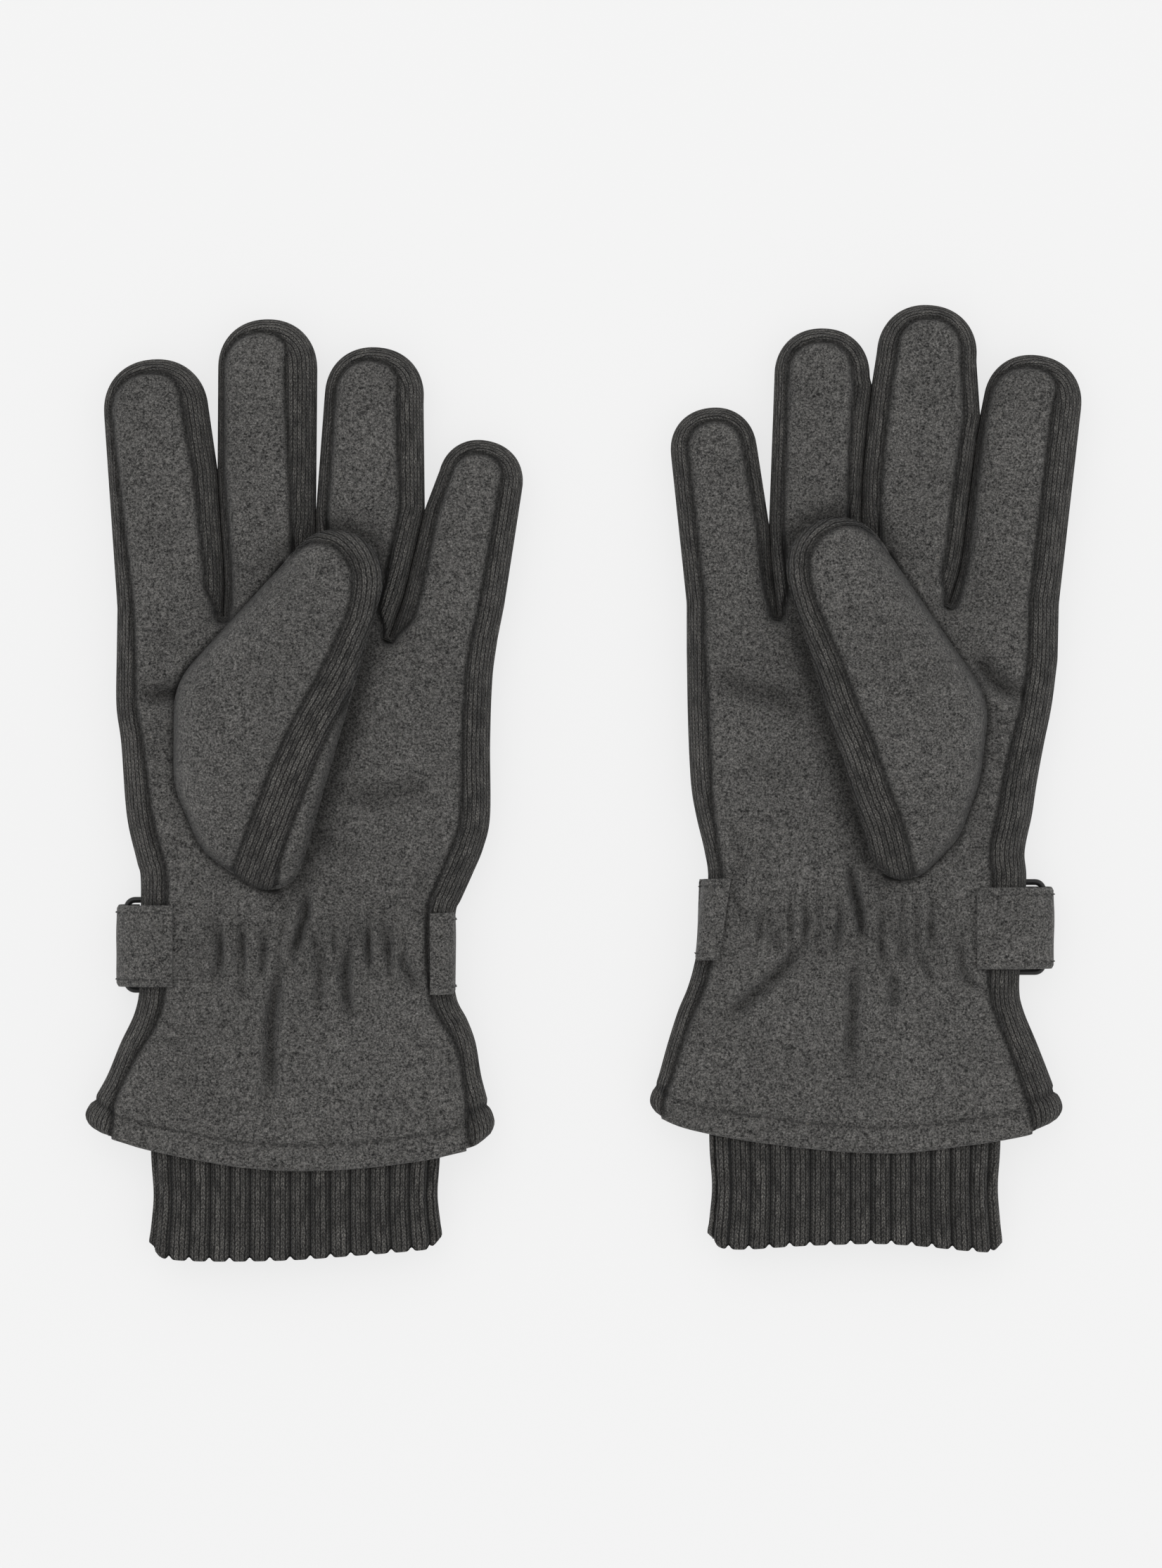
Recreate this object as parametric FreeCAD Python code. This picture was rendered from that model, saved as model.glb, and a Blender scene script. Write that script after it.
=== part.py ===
"""A pair of lined winter gloves, palm up: felt panels, knitted side strips, ribbed cuffs and wrist straps.

Frame: millimetres, +Z up out of the palms, +Y towards the fingertips, left glove at -X, right glove at +X.
The origin is at the middle of the pair's footprint, on the surface that the gloves lie on.
Each glove is a flat shell of separate panels. Every finger bends at its middle knuckle, the thumb lifts off
the palm along its seam, and the free end of the wrist strap peels open on the back of the hand.
"""

import FreeCAD
import Part

import math
import os

V = FreeCAD.Vector
UP = V(0, 0, 1)

# Fabric
FELT = 2.0  # wool felt, and the knit that is joined to it
LINING = 0.8  # brushed jersey lining
LINING_GAP = 0.15  # between lining and shell, below and at the sides
ELASTIC_ROOM = 1.0  # between lining and shell above, where the wrist elastic lies
HINGE_GAP = 0.5  # between two panels that bend against each other
FOLD_GAP = 0.35  # round the rounded end of a bending fingertip

# Heights
BODY_HEIGHT = 18.0  # hand, fingers and gauntlet lying flat
EDGE_ROUND = 4.75  # rounding of the outer edges
LINING_ROUND = 2.8
PANEL_ROOT = 12.0  # how far the felt of a finger runs down into the palm
SIDE_KNIT = 5.5  # width of the knitted strip that shows along each edge of the hand
KNIT_ABOVE, KNIT_BELOW = 2.0, 1.0  # how far the strip's wall reaches above and below half height
THUMB_FLOOR = BODY_HEIGHT + 0.5
THUMB_HEIGHT = 13.5
RECESS_DEPTH = 5.9  # how far the back of the wrist stands clear of the table, for the strap
RECESS_SLOPE = 6.0

# Wrist strap and its ring
STRAP_WIDTH = 25.0
STRAP_THICK = 1.6
STRAP_TAIL_LENGTH = 44.0
STRAP_LIFT = 0.3
RING_BAR = 1.8
RING_DEPTH = 15.0  # from bar centre to bar centre
RING_CLEAR = 0.5  # beside the strap, at each end
RING_CORNER = 2.6
TAIL_GAP = 0.3

# Ribbed inner cuff
CUFF_BOTTOM, CUFF_TOP = 4.0, 16.0
CUFF_WALL = 2.0

# Wrist elastic
ELASTIC_WIDTH = 8.0
ELASTIC_THICK = 0.7

# Thumb hole between the palm and the thumb
THUMB_HOLE_RADIUS = 12.0

FAR = 400.0
SLACKS = (0.0, 0.001, 0.003, 0.01)  # faces closer than this count as one, tried in turn where a cut fails

# A finger is the hull of a base circle and a tip circle: centre x, centre y, radius.
# knuckle is how far the middle knuckle's fold is from the tip's end, and knit is the width of knitted strip
# on the finger's left and right side.
# The sides of the hand are rows of (x, y) from the hem up to the base of the outer fingers.
# webs are the three points where the fingers part. The thumb is the hull of five circles, anticlockwise from
# its tip: three follow its curved seam and one is its root.
GLOVES = {
    "left": {
        "radial": -1,
        "fingers": {
            "index": {
                "base": (-126.5, 55.0, 16.7), "tip": (-131.3, 114.4, 16.0),
                "knuckle": 50.0, "knit": (3.5, 7.0),
            },
            "middle": {
                "base": (-95.7, 57.0, 13.4), "tip": (-97.0, 127.5, 15.2),
                "knuckle": 53.5, "knit": (3.0, 8.0),
            },
            "ring": {
                "base": (-68.8, 57.0, 12.9), "tip": (-64.2, 118.9, 15.2),
                "knuckle": 45.0, "knit": (4.5, 7.0),
            },
            "little": {
                "base": (-39.3, 57.0, 15.2), "tip": (-31.6, 92.5, 13.0),
                "knuckle": 36.0, "knit": (5.0, 8.0),
            },
        },
        "west": [
            (-153.3, -104.0), (-147.5, -92.0), (-139.0, -73.0), (-135.4, -60.0), (-135.6, -38.0),
            (-136.0, -27.0), (-141.0, -2.0), (-143.5, 24.0), (-143.2, 45.0), (-138.5, 60.0),
        ],
        "east": [
            (-27.1, -106.0), (-31.0, -88.0), (-36.5, -73.0), (-41.3, -62.0), (-41.3, -38.0),
            (-36.0, -29.0), (-29.2, -16.0), (-28.2, 12.0), (-26.6, 36.0), (-25.8, 46.0),
            (-30.0, 61.0),
        ],
        "webs": [(-109.7, 51.0), (-82.0, 56.0), (-58.5, 46.0)],
        "hem_sag": 12.0,
        "thumb": [
            (-75.7, 62.4, 15.0), (-104.7, 22.6, 20.5), (-106.0, 3.0, 19.3), (-102.5, -9.5, 17.6),
            (-96.2, -22.1, 10.9),
        ],
        "thumb_hole": (-104.0, 8.0),
        "cuff": (-133.1, -44.8, -147.1),
        "strap_y": -50.0,
        "strap_walls": {"tab": (126.0, 135.6, 143.8), "far": (46.3, 41.3, 38.6)},
        "elastic": (-118.0, -56.0),
    },
    "right": {
        "radial": 1,
        "fingers": {
            "index": {
                "base": (129.8, 57.0, 16.7), "tip": (138.3, 116.7, 15.0),
                "knuckle": 48.0, "knit": (3.0, 9.0),
            },
            "middle": {
                "base": (99.5, 57.0, 12.8), "tip": (105.8, 131.8, 15.3),
                "knuckle": 54.0, "knit": (4.0, 6.0),
            },
            "ring": {
                "base": (73.7, 57.0, 12.0), "tip": (73.6, 125.3, 14.6),
                "knuckle": 47.0, "knit": (5.0, 6.0),
            },
            "little": {
                "base": (46.4, 57.0, 14.5), "tip": (40.3, 102.3, 13.2),
                "knuckle": 41.0, "knit": (4.5, 5.0),
            },
        },
        "west": [
            (21.2, -98.0), (26.5, -83.0), (33.0, -68.0), (38.2, -56.0), (38.2, -33.0),
            (36.0, -24.0), (33.3, -2.0), (32.0, 20.0), (32.4, 46.0), (37.0, 61.0),
        ],
        "east": [
            (146.6, -98.0), (143.4, -88.0), (137.0, -73.0), (134.6, -60.0), (135.2, -40.0),
            (135.4, -24.0), (138.7, -6.0), (144.5, 24.0), (145.9, 46.0), (141.0, 61.0),
        ],
        "webs": [(61.3, 53.0), (86.4, 56.0), (112.6, 55.0)],
        "hem_sag": 12.0,
        "thumb": [
            (77.8, 65.3, 15.9), (98.0, -19.2, 10.6), (101.0, -8.0, 16.4), (103.0, 5.0, 18.9),
            (103.3, 20.2, 20.5),
        ],
        "thumb_hole": (102.5, 8.0),
        "cuff": (39.2, 127.8, -144.9),
        "strap_y": -44.5,
        "strap_walls": {"tab": (121.5, 135.4, 144.7), "far": (43.5, 38.0, 35.2)},
        "elastic": (52.0, 112.0),
    },
}
FINGERS = ("index", "middle", "ring", "little")


# Outlines
def hull_wire(circles, z, inset=0.0):
    """The outline round circles (x, y, radius), listed anticlockwise, each drawn smaller by inset."""
    rings = [(V(x, y, z), radius - inset) for x, y, radius in circles]
    normals = []
    for (start, r_start), (end, r_end) in zip(rings, rings[1:] + rings[:1]):
        along = (end - start).normalize()
        out = V(along.y, -along.x, 0)
        lean = (r_start - r_end) / (end - start).Length
        normals.append(out * math.sqrt(1 - lean * lean) + along * lean)
    edges = []
    for i, (centre, radius) in enumerate(rings):
        arrive, leave = normals[i - 1], normals[i]
        first = math.atan2(arrive.y, arrive.x)
        turn = (math.atan2(leave.y, leave.x) - first) % (2 * math.pi)
        angles = [first + turn * k for k in (0, 0.5, 1)]
        points = [centre + V(math.cos(angle), math.sin(angle), 0) * radius for angle in angles]
        edges.append(Part.Arc(*points).toShape())
        following, r_following = rings[(i + 1) % len(rings)]
        edges.append(Part.makeLine(points[2], following + leave * r_following))
    return Part.Wire(edges)


def palm_wire(glove, z, inset=0.0, hem_out=0.0):
    """The outline of hand and gauntlet: two side curves, the line through the webs and the curved hem."""
    west = [V(x + inset, y, z) for x, y in glove["west"]]
    east = [V(x - inset, y, z) for x, y in glove["east"]]
    west[0].y -= hem_out
    east[0].y -= hem_out
    west[-1].y -= inset
    east[-1].y -= inset
    webs = [V(x, y - inset, z) for x, y in glove["webs"]]
    top = [west[-1], *webs, east[-1]]
    hem_middle = (west[0] + east[0]) * 0.5 - V(0, glove["hem_sag"], 0)
    edges = [spline(west)]
    edges += [Part.makeLine(a, b) for a, b in zip(top, top[1:])]
    edges += [spline(east[::-1]), Part.Arc(east[0], hem_middle, west[0]).toShape()]
    return Part.Wire(edges)


def spline(points):
    curve = Part.BSplineCurve()
    curve.interpolate(points)
    return curve.toShape()


def finger_circles(finger, inset=(0.0, 0.0)):
    """Base and tip circle, anticlockwise, drawn in from the left and the right by the two insets."""
    left, right = inset
    middle, narrower = (left - right) / 2, (left + right) / 2
    return [(x + middle, y, radius - narrower) for x, y, radius in (finger["base"], finger["tip"])]


# Solids
def pillow(outline, low, high, round_edge):
    """A flat solid with rounded rims. outline(z, inset) draws its wire."""
    steps = 3
    levels = []
    for k in range(steps + 1):
        angle = math.pi / 2 * k / steps
        levels.append((round_edge * (1 - math.cos(angle)), round_edge * (1 - math.sin(angle))))
    wires = [outline(low + rise, inset) for rise, inset in levels]
    wires += [outline(high - rise, inset) for rise, inset in reversed(levels)]
    return Part.makeLoft(wires, True, True)


def finger_pillow(finger, low, high, inset, round_edge):
    circles = [finger["base"], finger["tip"]]
    return pillow(lambda z, more: hull_wire(circles, z, inset + more), low, high, round_edge)


def palm_pillow(glove, low, high, inset, round_edge, hem_out=0.0):
    return pillow(lambda z, more: palm_wire(glove, z, inset + more, hem_out), low, high, round_edge)


def prism(wire, low, high):
    """The wire's face, which is drawn at z 0, swept from low to high."""
    face = Part.Face(wire)
    face.translate(V(0, 0, low))
    return face.extrude(V(0, 0, high - low))


def block(low, high):
    return Part.makeBox(*(high - low), low)


def fused(shapes):
    first, *others = shapes
    return first.fuse(others).removeSplitter()


def split(shape, tool):
    """What of shape lies inside and outside tool."""
    for slack in SLACKS:
        inside, outside = shape.common([tool], slack), shape.cut([tool], slack)
        lost = abs(inside.Volume + outside.Volume - shape.Volume)
        if inside.Volume > 0 and outside.Volume > 0 and lost < 1e-3 * shape.Volume:
            if inside.isValid() and outside.isValid():
                return inside, outside
    raise ValueError("the cut failed at every slack")


def side_profile(points, y_low, y_high):
    """A closed outline in X and Z, swept along Y."""
    ring = [V(x, y_low, z) for x, z in points]
    face = Part.Face(Part.makePolygon(ring + ring[:1]))
    return face.extrude(V(0, y_high - y_low, 0))


def recess_half():
    return STRAP_WIDTH / 2 + RING_CLEAR + RING_BAR + 2.0


def cuff_start(glove):
    """Where the ribbed cuff is sewn in: below the trough and all its layers."""
    return glove["strap_y"] - recess_half() - RECESS_SLOPE - 3.0


def recess(glove, deeper=0.0):
    """The trough across the back of the wrist that leaves room for the strap. deeper: for a layer inside."""
    middle, half = glove["strap_y"], recess_half()
    top = RECESS_DEPTH + deeper
    grow = deeper * math.tan(math.radians(30))
    half += grow
    ring = [(-half - RECESS_SLOPE, -1), (-half, top), (half, top), (half + RECESS_SLOPE, -1)]
    points = [V(-FAR, middle + y, z) for y, z in ring]
    return Part.Face(Part.makePolygon(points + points[:1])).extrude(V(2 * FAR, 0, 0))


# Folds
def finger_frame(finger):
    """Where the fold crosses the finger's middle line, and the directions along and across the finger."""
    base, tip = V(*finger["base"][:2], 0), V(*finger["tip"][:2], 0)
    along = (tip - base).normalize()
    fold = tip + along * (finger["tip"][2] - finger["knuckle"])
    return fold, along, V(along.y, -along.x, 0)


def past_line(finger, offset, low, high):
    """Everything on the fingertip's side of a line that crosses the finger offset past its fold."""
    fold, along, across = finger_frame(finger)
    near = fold + along * offset
    side, length = across * 30, along * 90
    corners = [near - side, near + side, near + side + length, near - side + length]
    return prism(Part.makePolygon(corners + corners[:1]), low, high)


def fold_roll(finger, radius):
    """A cylinder round the fold's axis, at half the finger's height."""
    fold, _, across = finger_frame(finger)
    return Part.makeCylinder(radius, 60, fold - across * 30 + UP * BODY_HEIGHT / 2, across)


def fingertip_room(finger):
    """The room of the bending fingertip: all past the fold, and a rounded end about the fold's axis."""
    return fused([past_line(finger, 0, -1, BODY_HEIGHT + 1), fold_roll(finger, BODY_HEIGHT / 2)])


def cut_before_fold(root, finger):
    """Ends a finger's root clear of the fingertip over its whole travel."""
    roll = BODY_HEIGHT / 2 + FOLD_GAP
    over = past_line(finger, -roll, BODY_HEIGHT / 2, BODY_HEIGHT + 1)
    return root.cut([over, past_line(finger, 0, -1, BODY_HEIGHT + 1), fold_roll(finger, roll)])


def thumb_fold(glove):
    """A line beside the thumb's curved seam, with the whole thumb on one side: a point and a direction."""
    lower, upper = glove["thumb"][2:4]
    if glove["radial"] < 0:
        lower, upper = upper, lower
    span = V(*upper[:2], 0) - V(*lower[:2], 0)
    lean = (upper[2] - lower[2]) / span.Length
    along = span.normalize()
    out = V(along.y, -along.x, 0) * glove["radial"]
    normal = out * math.sqrt(1 - lean * lean) - along * lean
    point = V(*lower[:2], 0) + normal * (lower[2] + HINGE_GAP / 2)
    end = V(*upper[:2], 0) + normal * (upper[2] + HINGE_GAP / 2)
    return point, (end - point).normalize()


# One glove
def felt_plan(glove, low, high):
    """The felt's plan on one face of hand, gauntlet and finger roots, clear of the knitted side strips."""
    outlines = [palm_wire(glove, 0, SIDE_KNIT, SIDE_KNIT)]
    for finger in glove["fingers"].values():
        (x, y, radius), tip = finger_circles(finger, finger["knit"])
        outlines.append(hull_wire([(x, y - PANEL_ROOT, radius), tip], 0))
    return fused([prism(outline, low, high) for outline in outlines])


def hand_layer(glove, low, high, inset, round_edge, hem_out=0.0, ends_at_folds=True, trough=0.0):
    """Hand, gauntlet and finger roots as one solid."""
    roots = []
    for finger in glove["fingers"].values():
        root = finger_pillow(finger, low, high, inset, round_edge)
        roots.append(cut_before_fold(root, finger) if ends_at_folds else root)
    whole = fused([palm_pillow(glove, low, high, inset, round_edge, hem_out), *roots])
    return whole.cut(recess(glove, trough))


def hand_panels(glove):
    """Palm panel, back panel and the knitted strips between them, also between the finger roots."""
    outer = hand_layer(glove, 0, BODY_HEIGHT, 0, EDGE_ROUND)
    inner = hand_layer(glove, FELT, BODY_HEIGHT - FELT, FELT, EDGE_ROUND - FELT, 10, False, FELT)
    middle = BODY_HEIGHT / 2
    over = felt_plan(glove, middle + KNIT_ABOVE, BODY_HEIGHT + 1)
    under = felt_plan(glove, -1, middle - KNIT_BELOW)
    palm, rest = split(outer, over)
    back, strips = split(rest, under)
    palm, back, strips = (split(solid, inner)[1] for solid in (palm, back, strips))
    palm = palm.cut(thumb_hole(glove, middle, THUMB_FLOOR))
    return {"palm_panel": palm, "back_panel": back, "knit_side_strips": strips}


def thumb_hole(glove, low, high):
    x, y = glove["thumb_hole"]
    return Part.makeCylinder(THUMB_HOLE_RADIUS, high - low, V(x, y, low))


def lining_levels():
    return FELT + LINING_GAP, BODY_HEIGHT - FELT - ELASTIC_ROOM


def hand_lining(glove):
    low, high = lining_levels()
    inset = FELT + LINING_GAP
    outer = hand_layer(glove, low, high, inset, LINING_ROUND, trough=inset)
    inset += LINING
    inner = hand_layer(glove, low + LINING, high - LINING, inset, LINING_ROUND - LINING, 10, False, inset)
    below_wrist = block(V(-FAR, -FAR, -5), V(FAR, cuff_start(glove) + LINING_GAP, 40))
    return outer.cut([inner, below_wrist, thumb_hole(glove, BODY_HEIGHT / 2, BODY_HEIGHT)])


def finger_panels(name, finger):
    """A finger past its middle knuckle: front, back, knitted strip round the tip, and lining."""
    room = fingertip_room(finger)
    inside = finger_pillow(finger, FELT, BODY_HEIGHT - FELT, FELT, EDGE_ROUND - FELT)
    shell = finger_pillow(finger, 0, BODY_HEIGHT, 0, EDGE_ROUND).common(room).cut(inside)
    plan = hull_wire(finger_circles(finger, finger["knit"]), 0)
    front, back = prism(plan, BODY_HEIGHT / 2, BODY_HEIGHT + 1), prism(plan, -1, BODY_HEIGHT / 2)
    low, high = lining_levels()
    inset = FELT + LINING_GAP
    lining = finger_pillow(finger, low, high, inset, LINING_ROUND).common(room)
    hollow = finger_pillow(finger, low + LINING, high - LINING, inset + LINING, LINING_ROUND - LINING)
    return {
        f"{name}_front_panel": shell.common(front),
        f"{name}_back_panel": shell.common(back),
        f"{name}_knit_strip": shell.cut([front, back]),
        f"{name}_lining": lining.cut(hollow),
    }


def thumb_panels(glove):
    """The thumb, which lies on the palm and opens into it through the thumb hole."""
    circles = glove["thumb"]
    low, high = THUMB_FLOOR, THUMB_FLOOR + THUMB_HEIGHT

    def layer(depth, top_depth, round_edge):
        def outline(z, more):
            return hull_wire(circles, z, depth + more)

        return pillow(outline, low + depth, high - top_depth, round_edge)

    hole = thumb_hole(glove, low - 1, low + FELT + LINING + 1)
    shell = layer(0, 0, 4.0).cut([layer(FELT, FELT, 2.0), hole])
    side, edge = 6.0, 3.0
    toward = -glove["radial"] * (side - edge) / 2
    plan = hull_wire([(x - toward, y, radius - (side + edge) / 2) for x, y, radius in circles], 0)
    middle = (low + high) / 2
    front, back = prism(plan, middle, high + 1), prism(plan, low - 1, middle)
    inset = FELT + LINING_GAP
    lining = layer(inset, inset, 1.8).cut([layer(inset + LINING, inset + LINING, 1.0), hole])
    return {
        "thumb_front_panel": shell.common(front),
        "thumb_back_panel": shell.common(back),
        "thumb_knit_strip": shell.cut([front, back]),
        "thumb_lining": lining,
    }


def rib_cuff(glove):
    """A flat ribbed tube, sewn in at the wrist and standing out below the gauntlet."""
    west, east, end = glove["cuff"]
    start = cuff_start(glove)

    def tube(inset):
        radius = (CUFF_TOP - CUFF_BOTTOM) / 2 - inset
        middle = (CUFF_TOP + CUFF_BOTTOM) / 2
        left, right = west + inset + radius, east - inset - radius
        ends = [V(left, end, middle), V(right, end, middle)]
        rise = V(0, 0, radius)
        wire = Part.Wire([
            Part.makeLine(ends[0] + rise, ends[1] + rise),
            Part.Arc(ends[1] + rise, ends[1] + V(radius, 0, 0), ends[1] - rise).toShape(),
            Part.makeLine(ends[1] - rise, ends[0] - rise),
            Part.Arc(ends[0] - rise, ends[0] - V(radius, 0, 0), ends[0] + rise).toShape(),
        ])
        return Part.Face(wire).extrude(V(0, start - end, 0))

    return tube(0).cut(tube(CUFF_WALL))


def wrist_elastic(glove):
    """The flat elastic that gathers the palm side of the wrist, between panel and lining."""
    west, east = glove["elastic"]
    top = BODY_HEIGHT - FELT - LINING_GAP
    y = glove["strap_y"]
    return block(V(west, y - ELASTIC_WIDTH / 2, top - ELASTIC_THICK), V(east, y + ELASTIC_WIDTH / 2, top))


# Strap
def band(path, thick):
    """The outline of a strip of even thickness that follows path, a list of (x, z)."""
    sides = ([], [])
    for i, (x, z) in enumerate(path):
        before, after = path[max(i - 1, 0)], path[min(i + 1, len(path) - 1)]
        lengths = [math.dist(before, (x, z)), math.dist((x, z), after)]
        into = ((x - before[0]) / lengths[0], (z - before[1]) / lengths[0]) if lengths[0] else None
        out = ((after[0] - x) / lengths[1], (after[1] - z) / lengths[1]) if lengths[1] else into
        into = into or out
        bisector = (-(into[1] + out[1]), into[0] + out[0])
        size = math.hypot(*bisector)
        miter = thick / 2 / (size / 2)
        step = (bisector[0] / size * miter, bisector[1] / size * miter)
        sides[0].append((x + step[0], z + step[1]))
        sides[1].append((x - step[0], z - step[1]))
    return sides[0] + sides[1][::-1]


def arc_points(centre, radius, start, end, count):
    """Points on an arc in X and Z, from start to end degrees."""
    angles = [math.radians(start + (end - start) * k / count) for k in range(count + 1)]
    return [(centre[0] + radius * math.cos(a), centre[1] + radius * math.sin(a)) for a in angles]


def strap_levels(glove):
    """Distances from the pair's middle plane of what the strap passes, and the heights of its layers."""
    tab_seam, tab_wall, tab_out = glove["strap_walls"]["tab"]
    far_seam, far_wall, far_out = glove["strap_walls"]["far"]
    turn = RING_BAR / 2 + 0.2 + STRAP_THICK / 2
    bar_height = STRAP_LIFT + STRAP_THICK / 2 + turn
    outer_bar = tab_out - STRAP_THICK - 0.2 - RING_BAR / 2
    return {
        "tab_seam": tab_seam, "tab_wall": tab_wall, "tab_out": tab_out, "far_seam": far_seam,
        "far_wall": far_wall, "far_out": far_out, "turn": turn, "bar_height": bar_height,
        "outer_bar": outer_bar, "inner_bar": outer_bar - RING_DEPTH,
    }


def strap_pieces(glove):
    """Strap, its free end, the ring it turns round, and the felt tab that holds the ring."""
    sign = glove["radial"]
    at = strap_levels(glove)
    y_low, y_high = glove["strap_y"] - STRAP_WIDTH / 2, glove["strap_y"] + STRAP_WIDTH / 2
    over = BODY_HEIGHT + 0.2 + STRAP_THICK / 2
    upper = at["bar_height"] + at["turn"]
    lower = at["bar_height"] - at["turn"]
    outside = at["far_out"] + STRAP_THICK / 2
    strap = [(at["far_seam"], over), (outside + 1.4, over), (outside, over - 1.8), (outside, upper + 3.0),
             (outside + 3.0, upper), (at["inner_bar"], upper)]
    strap += arc_points((at["inner_bar"], at["bar_height"]), at["turn"], 90, -90, 8)[1:]
    strap_stop = at["inner_bar"] - 2.0
    strap += [(strap_stop, lower)]
    tail_start = strap_stop - TAIL_GAP
    tail = [(tail_start, lower), (tail_start - STRAP_TAIL_LENGTH, lower)]
    tab_edge = at["tab_out"] - STRAP_THICK / 2
    tab = [(at["tab_seam"], over), (at["tab_wall"] + 0.5, over), (tab_edge, over - 5.0)]
    tab += arc_points((at["outer_bar"], at["bar_height"]), at["turn"], 0, -90, 5)
    tab += [(at["tab_wall"] + 1.5, lower)]

    def swept(path):
        outline = [(sign * x, z) for x, z in band(path, STRAP_THICK)]
        return side_profile(outline, y_low, y_high)

    return {
        "wrist_strap": swept(strap), "strap_end": swept(tail), "ring_tab": swept(tab),
        "strap_ring": strap_ring(glove, at),
    }


def strap_ring(glove, at):
    """A moulded rectangular ring of round bar, swept as one closed loop with rounded corners."""
    sign, radius = glove["radial"], RING_CORNER
    y_half = STRAP_WIDTH / 2 + RING_CLEAR + RING_BAR / 2
    west, east = sorted((sign * at["outer_bar"], sign * at["inner_bar"]))
    y, z = glove["strap_y"], at["bar_height"]
    north, south = y + y_half, y - y_half
    corners = [V(east, north, z), V(west, north, z), V(west, south, z), V(east, south, z)]
    edges = []
    for i, corner in enumerate(corners):
        back = (corners[i - 1] - corner).normalize()
        onward = (corners[(i + 1) % 4] - corner).normalize()
        start, end = corner + back * radius, corner + onward * radius
        middle = corner + (back + onward) * radius - (back + onward).normalize() * radius
        edges.append(Part.Arc(start, middle, end).toShape())
        edges.append(Part.makeLine(end, corners[(i + 1) % 4] - onward * radius))
    first_side = edges[1]
    start, end = (vertex.Point for vertex in first_side.Vertexes)
    section = Part.Wire([Part.makeCircle(RING_BAR / 2, start, (end - start).normalize())])
    path = Part.Wire(edges[1:] + edges[:1])
    return path.makePipeShell([section], True, False)


def build_glove(name):
    glove = GLOVES[name]
    pieces = hand_panels(glove)
    pieces["hand_lining"] = hand_lining(glove)
    for finger in FINGERS:
        pieces.update(finger_panels(finger, glove["fingers"][finger]))
    pieces.update(thumb_panels(glove))
    pieces["rib_cuff"] = rib_cuff(glove)
    pieces["wrist_elastic"] = wrist_elastic(glove)
    pieces.update(strap_pieces(glove))
    return {f"{name}_{node}": shape for node, shape in pieces.items()}


def main():
    os.makedirs("parts", exist_ok=True)
    for name in GLOVES:
        for node, shape in build_glove(name).items():
            shape.exportStep(f"parts/{node}.step")
            print(node, len(shape.Solids), "solids, valid:", shape.isValid(), round(shape.Volume, 1), "mm3")


main()
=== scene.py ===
"""The look of a pair of lined winter gloves lying palm up: felt sheets, knitted strips, rib cuffs and straps.

Lengths are in millimetres, in the frame that the CAD and MuJoCo share, and become metres when a mesh is made.
Each glove has one outline, drawn from the hem up round the fingers and down again. The knitted strips follow
it, and the felt sheets fill what is inside.
"""

import math

import bpy
import numpy as np
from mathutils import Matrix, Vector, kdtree, noise


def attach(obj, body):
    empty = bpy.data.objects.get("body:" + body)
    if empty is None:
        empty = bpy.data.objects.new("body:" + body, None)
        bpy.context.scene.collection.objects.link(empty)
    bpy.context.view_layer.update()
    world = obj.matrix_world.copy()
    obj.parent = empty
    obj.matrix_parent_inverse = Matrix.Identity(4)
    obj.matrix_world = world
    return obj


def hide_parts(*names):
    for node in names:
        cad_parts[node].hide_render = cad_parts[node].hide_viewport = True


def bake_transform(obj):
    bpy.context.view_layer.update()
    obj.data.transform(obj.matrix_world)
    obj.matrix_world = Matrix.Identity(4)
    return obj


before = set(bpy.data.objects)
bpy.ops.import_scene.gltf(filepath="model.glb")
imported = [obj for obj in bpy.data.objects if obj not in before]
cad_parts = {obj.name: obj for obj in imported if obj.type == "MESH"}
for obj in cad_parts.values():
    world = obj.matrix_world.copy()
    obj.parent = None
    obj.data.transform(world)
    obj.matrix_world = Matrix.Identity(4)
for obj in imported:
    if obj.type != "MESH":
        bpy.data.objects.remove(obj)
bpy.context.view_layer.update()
MM = 0.001


# Driving sizes ------------------------------------------------------------------------------------
HEIGHT = 18.0  # hand and fingers lying flat
MIDDLE = HEIGHT / 2
THUMB_FLOOR = 18.5  # the thumb's underside, just above the palm
THUMB_HEIGHT = 13.3
EDGE_ROUND = 9.5  # how far in from the outline a finger stays rounded
CELL = 0.8  # grid of the felt sheets
FINE_CELL = 0.5  # grid of the thumb's knitted strip
COARSE_CELL = 1.6  # grid of the pieces that are hardly seen
WALE = 1.45  # width of one column of stitches
COURSE = 1.35  # height of one row of stitches
WALE_DEPTH = 0.22
OUTLINE_STEP = 0.15  # between samples of a glove's outline
STRIP_STEP = 0.9  # between the rows of a knitted strip
STRIP_COLUMNS = 84  # faces across a knitted strip
SEAM_TUCK = 0.7  # how far the felt runs in under the knit
TIP_KNIT = 4.4  # width of the knitted strip round a fingertip
WEB_KNIT = 1.8  # its width where it ends between two fingers
LINING_DROP = 2.9  # from the outer face down to the lining
GATHER = 1.7  # scales the depth of every crease
GATHER_REACH = 9.5  # of the wrist's gathers, above and below the elastic
GATHER_PITCHES = (5.6, 3.5)  # of the broad and the narrow gathers
FOLD_LIMITS = (-0.9, 3.6)  # the highest ridge and the deepest fold
TROUGH = 1.7  # how deep the thumb presses into the palm
SEAM_DEPTH, SEAM_WIDTH = 1.3, 0.8  # groove where felt and knit are sewn together
NO_SEAM = 9.0  # a distance from the seam at which the groove is gone
FINGER_GAP = 0.04  # between neighbouring fingers where they touch
RECESS_DEPTH = 5.9  # how far the back of the wrist is lifted for the strap
STRAP_WIDTH = 25.0
STRAP_THICK = 1.6
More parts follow.
